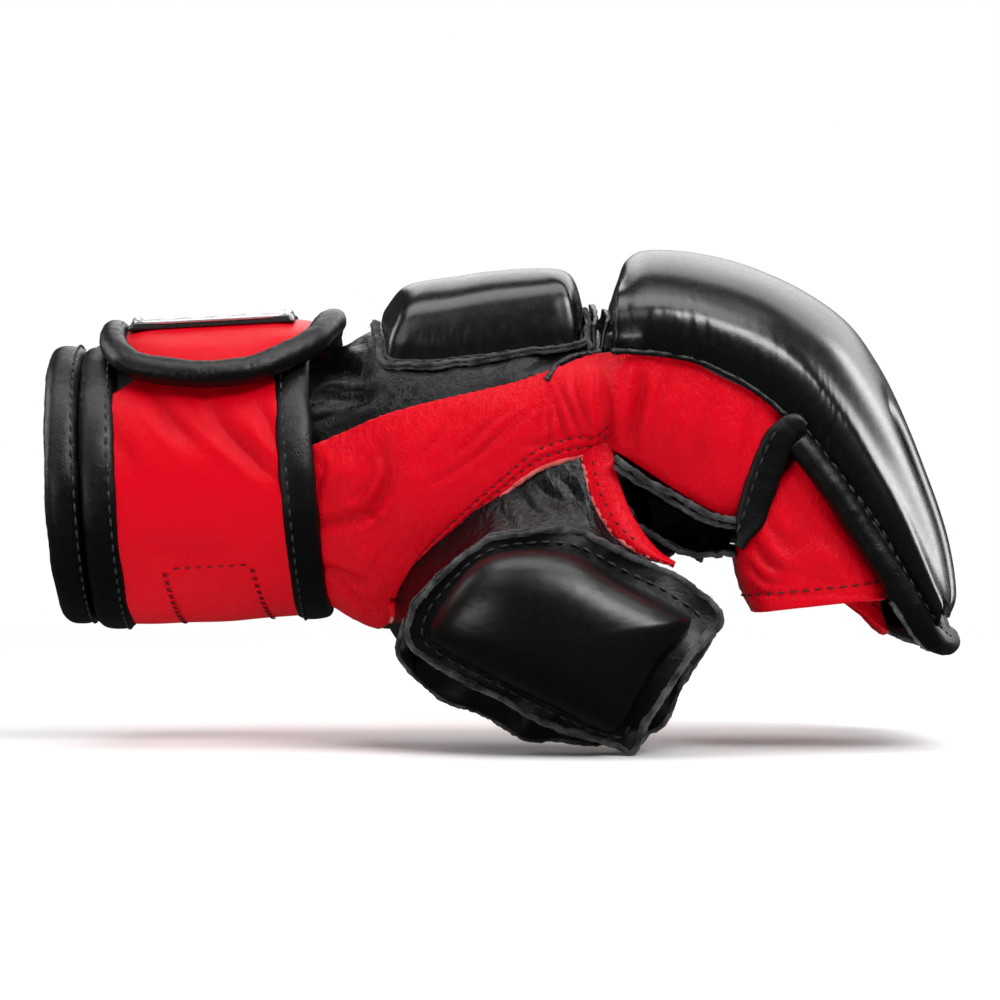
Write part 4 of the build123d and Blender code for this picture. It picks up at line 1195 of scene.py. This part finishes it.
def panel_binding(side):
    """The black binding down the front edge of the finger panel, folded over at the pad."""
    t = np.linspace(0, 1, 130)
    x, z = smooth([(75.8, 83.2), (72.6, 83.6), (69.2, 80.2), (66.6, 74.5), (64.4, 68), (62.0, 60.5),
                   (59.2, 53.5)], 130).T
    path = surface(x, -(52.6 - 3.0 * smoothstep(t * 1.3) + 1.2 * t), z)
    width = (3.2 + 0.9 * np.sin(np.pi * t)) * (1 - 0.6 * smoothstep((t - 0.78) / 0.22))
    width = width * (1 - 0.5 * smoothstep((0.1 - t) / 0.1))
    band = tube_skin(path, (0, -1.0, 0), (1.45, width), 32, 3.0)
    band.lumps(0.25, 5, 3)
    band.lumps(0.1, 1.8, 5)
    inward = np.cross(unit(np.gradient(path, axis=0)), [0, -1.0, 0])
    line = path - inward * 2.0 * np.sign(np.sum(inward * [1, 0, 0.0])) + [0, -1.6, 0]
    if side > 0:
        band.mirror()
        line = line * MIRROR
    word = "index" if side < 0 else "little"
    skin_piece(f"{word}_panel_binding", band, "black_leather", KNUCKLE, capped=True)
    stitches(f"{word}_panel_stitch", line[22:], (0, side, 0), KNUCKLE, radius=0.28)


def palm_bar():
    """Two layers of black leather across the palm, their cut edges showing beside the finger panel."""
    x, z = smooth([(28.3, 75.2), (31.5, 73.3), (39, 68.6), (47.3, 63.6), (54, 60.6), (61.0, 59.6)], 90).T
    y = np.linspace(-51.0, 47, 120)[None]
    for k, (drop, shift) in enumerate(((0.0, 0.0), (1.7, 1.2))):
        sag = (3.0 + 1.2 * k) * (1 - (y / 52) ** 2)
        skin = Skin(surface(x[:, None], y + shift, z[:, None] - drop - sag), (0, 0, -1))
        skin.lumps(0.6, 9, 3 + k)
        skin_piece(f"palm_bar_{k}", skin, "black_leather", KNUCKLE, () if k else ["palm_bar"], thick=1.1)
        edge = skin.points[:, 0] + [0, 0.2, 0.5]
        outward, across = (0, -1, 0), (0.4, 0, 0.9)
        raw_edge(f"palm_bar_edge_{k}", edge, outward, across, KNUCKLE, 1, 1.5, fuzz=1.2, seed=14 + k)
    line = surface(x, -48.8, z + 0.4)[4:-4]
    stitches("palm_bar_stitch", line, (-0.3, -0.5, 0.8), KNUCKLE, "thread_grey", radius=0.26)


def palm_flap():
    """The crumpled leather behind the palm bar, and the torn end that hangs in front of it."""
    s, t = lattice(np.linspace(0, 1, 90), np.linspace(0, 1, 110))
    top = np.interp(s, [0, 0.35, 1], [72.5, 66.5, 57.0])
    z = top - 4.0 * t - (1 - t) * (5.5 + 6.0 * np.sin(np.pi * np.clip(s * 1.1, 0, 1)))
    y = -46 + 84 * t + 3.0 * np.sin(3.1 * s + 2 * t)
    flap = Skin(surface(28.2 + 30.3 * s + 0.8 * np.sin(5 * t), y, z), (0, -0.6, -1.0))
    flap.lumps(2.2, 9, 6)
    flap.lumps(1.0, 4, 16)
    flap.veins(0.7, 5, 3)
    skin_piece("palm_flap", flap, "black_wrinkled", KNUCKLE, thick=1.1)
    raw_edge("palm_flap_edge", flap.points[:, 0], (0, -0.7, -0.5), (0, -0.5, 0.8), KNUCKLE, 1, 1.3, seed=21)
    s, t = lattice(np.linspace(0, 1, 60), np.linspace(0, 1, 40))
    y = -44 + 6 * np.sin(2.4 * s) * t + 4 * t
    z = 66 - 6 * s - (11 + 3 * np.sin(6 * s)) * t
    torn = Skin(surface(36 + 16 * s + 2 * np.sin(4 * t), y, z), (0, -1, 0.2))
    torn.lumps(1.2, 5, 8)
    torn.veins(0.6, 4, 5)
    skin_piece("palm_torn", torn, "black_wrinkled", KNUCKLE, thick=1.0)
    raw_edge("palm_torn_edge", torn.points[:, -1], (0, -0.5, -0.8), (0, -0.8, 0.4), KNUCKLE, 1, 1.2, seed=22)


# ------------------------------------------------------------------ the thumb
# (x, z) outlines seen from the thumb side, and (scale, height) up from the flange to the pad's crown
THUMB_PAD = [(-17.6, 32.3), (-14.4, 40.6), (-5.6, 50.4), (6.1, 53.8), (18.1, 52.5), (29.8, 46.0),
             (43.6, 38.6), (46.6, 34.7), (38.9, 24.9), (31.9, 13.0), (28.2, 8.6), (23.4, 9.4), (12.2, 14.9),
             (-1, 21.4), (-12.4, 27.6)]
THUMB_FLANGE = [(-22.7, 30.3), (-20.7, 39.4), (-11.6, 48.7), (-2.7, 55.4), (12.3, 57.9), (21.2, 56.6),
                (30, 52.4), (39.2, 48.7), (47.5, 44.1), (54.2, 36.9), (50, 31.2), (45.1, 25.6),
                (40.3, 19.5), (36.2, 13.5), (34.2, 7.5), (32.2, 3.4), (28.8, 5.1), (18.5, 7.9),
                (7.1, 12.4), (-3, 18.3), (-15.8, 24.7)]
THUMB_BACK = [(-25.2, 30.6), (-24.7, 25.1), (-18.2, 18.1), (-12.7, 14.6), (-5.2, 11.8), (4.9, 6.2),
              (10.4, 5.3), (18.7, 4.9), (25.6, 4.6), (34.9, 6.6), (41.4, 10.4), (46, 22), (50, 34), (40, 45),
              (20, 56), (-4, 55), (-20, 42)]
THUMB_RISE = [(0.99, -1.0), (1.0, 0.8), (1.0, 2.6), (0.985, 4.8), (0.95, 7.0), (0.9, 8.9), (0.82, 10.8),
              (0.7, 12.4), (0.55, 13.5), (0.38, 14.1), (0.2, 14.3), (0.01, 14.4)]
# (x, z) of the thumb's base, its direction, and the middle that the outlines are measured from
THUMB_START, THUMB_ALONG = np.array([2.0, 49.0]), unit(np.array([41.0, -28.5]))
THUMB_CENTRE = np.array([14.5, 31.5])
THUMB_TURN = np.linspace(-np.pi, np.pi, 330, endpoint=False)
THUMB_RAY = np.column_stack([np.cos(THUMB_TURN), np.sin(THUMB_TURN)])


def thumb_face(xz, base=-60.5, curl=0.0078):
    """The y of the stall's outer face, which curls back round the thumb."""
    d = xz - THUMB_START
    away = d[..., 0] * THUMB_ALONG[1] - d[..., 1] * THUMB_ALONG[0]
    return base + curl * away**2 - 0.05 * (d @ THUMB_ALONG - 25)


def polar(outline):
    """How far a star-shaped outline is from the thumb's centre in each direction."""
    line = smooth(outline, 900, closed=True) - THUMB_CENTRE
    angle = np.arctan2(line[:, 1], line[:, 0])
    order = np.argsort(angle)
    return np.interp(THUMB_TURN, angle[order], np.linalg.norm(line, axis=1)[order], period=2 * np.pi)


def thumb_rows(rings):
    """A skin of rings round the thumb's centre, each with a radius, a depth behind the thumb's face, and the
    base and curl of that face where it isn't the outer one."""
    rows = []
    for radius, depth, face in rings:
        xz = THUMB_CENTRE + THUMB_RAY * radius[:, None]
        rows.append(surface(xz[:, 0], thumb_face(xz, *face) + depth, xz[:, 1]))
    return Skin(np.stack(rows, 1), THUMB_SIDE, close_u=True)


def thumb_pad():
    """The thumb's pad, the raw-edged flange that it is sewn down by, and the flange of the layer behind."""
    pad, flange = polar(THUMB_PAD), polar(THUMB_FLANGE)
    rise = smooth(THUMB_RISE, 56)
    skin = thumb_rows([(pad * scale, -height, ()) for scale, height in rise])
    skin.points[:, -1] = skin.points[:, -1].mean(0)
    height = rise[:, 1][None]
    skin.lumps(0.3, 1.7, 3, mask=bell((height - 1) / 3.0))
    skin.lumps(0.045, 1.5, 11, (0.35, 1, 1.3), smoothstep((height - 7) / 4))
    skin.lumps(0.15, 16, 5)
    cover = skin_piece("thumb_pad_cover", skin, "black_smooth", THUMB, ["thumb_pad_foam"])
    inner, outer = pad * 0.97, flange * (1 + 0.018 * ripple(surface(*(THUMB_RAY * 40).T, 0), 5, 4))
    lift = 0.72 * np.sin(THUMB_TURN * 7 + 1)
    rings = [(inner + (outer - inner) * t, 0.4 - lift * t**2 - 0.9 * t**3, ()) for t in np.linspace(0, 1, 18)]
    sheet = thumb_rows(rings)
    sheet.lumps(0.4, 5, 2)
    skin_piece("thumb_pad_flange", sheet, "black_leather", THUMB, thick=1.2)
    edge, outward, normals = rim(sheet)
    raw_edge("thumb_flange_edge", edge, outward, normals, THUMB, 2, 2.3, fuzz=1.2, seed=31)
    middle = loop(sheet.points[:, 7] + sheet.normals[:, 7] * 0.15)
    stitches("thumb_flange_stitch", middle, loop(sheet.normals[:, 7]), THUMB, radius=0.36)
    inner, outer, wave = pad * 0.9, flange * 0.985, 1.2 * np.sin(THUMB_TURN * 9 + 2)
    second = thumb_rows([(inner + (outer - inner) * t, 2.6 + wave * t, ()) for t in np.linspace(0, 1, 14)])
    second.lumps(0.5, 6, 8)
    skin_piece("thumb_inner_flange", second, "black_leather", THUMB, thick=1.1)


def thumb_back_panel():
    """The wavy panel behind the thumb pad, whose cut edge hangs below it."""
    outer = polar(THUMB_BACK)
    wave = 2.2 * np.sin(THUMB_TURN * 11 + 0.6) + 1.2 * np.sin(THUMB_TURN * 5)
    shares = np.linspace(0, 1, 26)
    skin = thumb_rows([(outer * (0.35 + 0.65 * t), (6 + wave) * t**2, (-51.5, 0.004)) for t in shares])
    skin.lumps(0.6, 6, 4)
    low = (THUMB_TURN < -0.2) | (THUMB_TURN > 2.8)
    keep = low[:, None] | (shares < 0.55)[None]
    skin_piece("thumb_back_panel", skin, "black_leather", THUMB, thick=1.2, keep=keep)
    order = np.concatenate([np.nonzero(THUMB_TURN > 2.8)[0], np.nonzero(THUMB_TURN < -0.2)[0]])
    edge, normals = skin.points[order, -1] - skin.normals[order, -1] * 0.6, skin.normals[order, -1]
    outward = unit(skin.points[order, -1] - skin.points[order, -3])
    raw_edge("thumb_back_edge", edge, outward, normals, THUMB, 2, 2.0, seed=41)


def thumb_stall():
    """The tube that holds the thumb, open at both ends."""
    base, mouth = np.array([2.5, -45.0, 47.6]), np.array([43.8, -52.2, 20.0])
    along = unit(mouth - base)
    across = unit(np.array([-along[2], 0, along[0]]))
    depth = np.cross(along, across)
    turn = np.linspace(0, 2 * np.pi, 120, endpoint=False)
    cosine, sine = power(np.cos(turn), 2.3)[:, None], power(np.sin(turn), 2.3)[:, None]
    rows = []
    for t in np.linspace(0, 1, 60):
        wide, deep = 15.5 + 4.6 * math.sin(math.pi * t * 0.8) - 0.8 * t, 9.5 + 3.7 * t
        rows.append(base + (mouth - base) * t + across * wide * cosine + depth * deep * sine)
    skin = Skin(np.stack(rows), from_rings, close_v=True)
    skin.lumps(0.7, 9, 2)
    skin.lumps(0.2, 2.4, 4)
    skin_piece("thumb_stall", skin, "black_leather", THUMB, thick=1.4)
    inner = Skin(skin.points - skin.normals * 1.9, lambda g: -from_rings(g), close_v=True)
    skin_piece("thumb_stall_lining", inner, "lining", THUMB)
    raw_edge("thumb_mouth_edge", loop(skin.points[-1]), along, loop(skin.normals[-1]), THUMB, 2, 2.4, seed=51)


GUSSET_FOLDS = [
    ([(8, 70.5), (12, 66.5), (18, 65)], 1.7, 0.8), ([(14, 71), (17.5, 68), (21, 63)], 1.3, 0.7),
    ([(4, 68), (8, 63.5), (12, 60.5)], 1.9, 0.5), ([(-17, 46), (-15, 42), (-18, 38)], 1.2, 0.7),
    ([(-21, 36), (-20, 33), (-22, 29)], 1.0, 0.9), ([(0, 63), (2, 59), (1, 56)], 1.5, 0.5),
]


def thumb_gusset():
    """Soft black leather between the arched seam and the stall's flange."""
    x, angle = np.array([(-29.5, 166), (-29, 158), (-28, 138), (-21.5, 118), (-10.5, 106), (0, 100),
                         (8, 98.5), (15.5, 103), (21, 108)]).T
    tail = [(24.6, -45.0, 70), (26.6, -47.2, 64), (30.6, -50.0, 57.4), (36, -53.2, 53)]
    top = smooth(np.vstack([hand(x, angle, -2.0), tail]), None)
    low = smooth([(-22, 22.5), (-23.2, 27), (-22, 33), (-19.6, 40.5), (-12.4, 48), (-3.2, 54.4), (6, 56.6),
                  (14, 57.2), (21.5, 55.8), (26, 53.6), (29.5, 51.6), (33.5, 50), (38, 48.6)], None)
    low = surface(low[:, 0], thumb_face(low) + 1.5, low[:, 1])
    share = np.linspace(0, 1, 60)[None, :, None] * np.ones(3)
    share[..., 1] = 0.35 * share[..., 1] + 0.65 * share[..., 1] ** 2.2
    skin = Skin(top[:, None] + (low - top)[:, None] * share, (0, -1, 0.4))
    skin.folds(GUSSET_FOLDS)
    skin.veins(0.16, 3.6, 5, (1.3, 1.0, 0.5))
    skin.lumps(0.45, 8, 3, (1.2, 1.0, 0.7))
    obj = skin_piece("thumb_gusset", skin, "black_wrinkled", None, thick=1.2)
    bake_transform(obj)


# ------------------------------------------------------------------ build
wrist_strap()
wrist_cuff()
strap_tab()
tab_fold()
badge()
back_shell()
for hand_side in (-1, 1):
    side_sheet(hand_side)
seam_lip()
thumb_web()
palm_and_lining()
back_pad()
flex_flaps()
knuckle_pad()
piping()
for finger, sleeve in enumerate(SLEEVES):
    finger_sleeve(finger, *sleeve)
for hand_side in (-1, 1):
    panel_binding(hand_side)
palm_bar()
palm_flap()
thumb_gusset()
thumb_pad()
thumb_back_panel()
thumb_stall()

# ------------------------------------------------------------------ stage
# Millimetres in the pattern frame
CAMERA_DISTANCE, CAMERA_HEIGHT, TARGET_HEIGHT = 1099, 72, 65
# name: where it is, what it points at, its size in metres and its power in watts
LIGHTS = {
    "overhead": ((-0.02, -0.12, 0.95), (0.0, 0.0, 0.07), (1.1, 0.55), 6.5),
    "key_right": ((0.46, -0.7, 0.84), (0.03, 0.0, 0.06), (0.7, 0.36), 9.5),
    "front_left": ((-0.62, -0.62, 0.78), (-0.03, 0.0, 0.06), (0.6, 0.4), 1.3),
    "rim_right": ((0.76, 0.42, 0.28), (0.08, 0.0, 0.07), (0.32, 0.7), 4.2),
    "rim_left": ((-0.8, 0.3, 0.4), (-0.06, 0.0, 0.07), (0.3, 0.5), 2.5),
    "low_left": ((-0.55, -0.45, 0.05), (-0.09, 0.0, 0.05), (0.3, 0.08), 0.6),
    "back_top": ((0.3, 0.75, 0.62), (0.0, 0.0, 0.07), (1.2, 0.7), 5),
}


def add_floor():
    mesh = bpy.data.meshes.new("floor")
    x, y = lattice(np.linspace(-0.9, 0.9, 25), np.linspace(-0.9, 0.9, 25))
    mesh.from_pydata(surface(x, y, -0.0008).reshape(-1, 3).tolist(), [], grid_faces(25, 25))
    mesh.materials.append(MATERIALS["floor"])
    floor = bpy.data.objects.new("floor", mesh)
    floor.visible_glossy = False
    bpy.context.scene.collection.objects.link(floor)


def add_surround():
    """A white backdrop for the camera, which lights the glove only faintly."""
    world = bpy.data.worlds.new("studio")
    world.use_nodes = True
    bpy.context.scene.world = world
    nodes, links = world.node_tree.nodes, world.node_tree.links
    strength = nodes.new("ShaderNodeMapRange")
    strength.inputs["To Min"].default_value = 0.035
    links.new(nodes.new("ShaderNodeLightPath").outputs["Is Camera Ray"], strength.inputs["Value"])
    nodes["Background"].inputs["Color"].default_value = (1, 1, 1, 1)
    links.new(strength.outputs["Result"], nodes["Background"].inputs["Strength"])


def add_aimed(name, data, spot, target):
    """Links a lamp or camera, pointing at a target."""
    obj = bpy.data.objects.new(name, data)
    obj.location = spot
    obj.rotation_euler = (Vector(target) - Vector(spot)).to_track_quat("-Z", "Y").to_euler()
    bpy.context.scene.collection.objects.link(obj)
    return obj


add_floor()
add_surround()
for light_name, (spot, target, size, watts) in LIGHTS.items():
    lamp = bpy.data.lights.new(light_name, "AREA")
    lamp.shape, lamp.size, lamp.size_y, lamp.energy = "RECTANGLE", *size, watts
    add_aimed(light_name, lamp, spot, target)
lens = bpy.data.cameras.new("camera")
lens.lens, lens.sensor_width = 152.3, 36
camera_spot, camera_target = place((0, -CAMERA_DISTANCE, CAMERA_HEIGHT)), place((0, 0, TARGET_HEIGHT))
bpy.context.scene.camera = add_aimed("camera", lens, camera_spot, camera_target)
bpy.context.scene.view_settings.view_transform = "Standard"
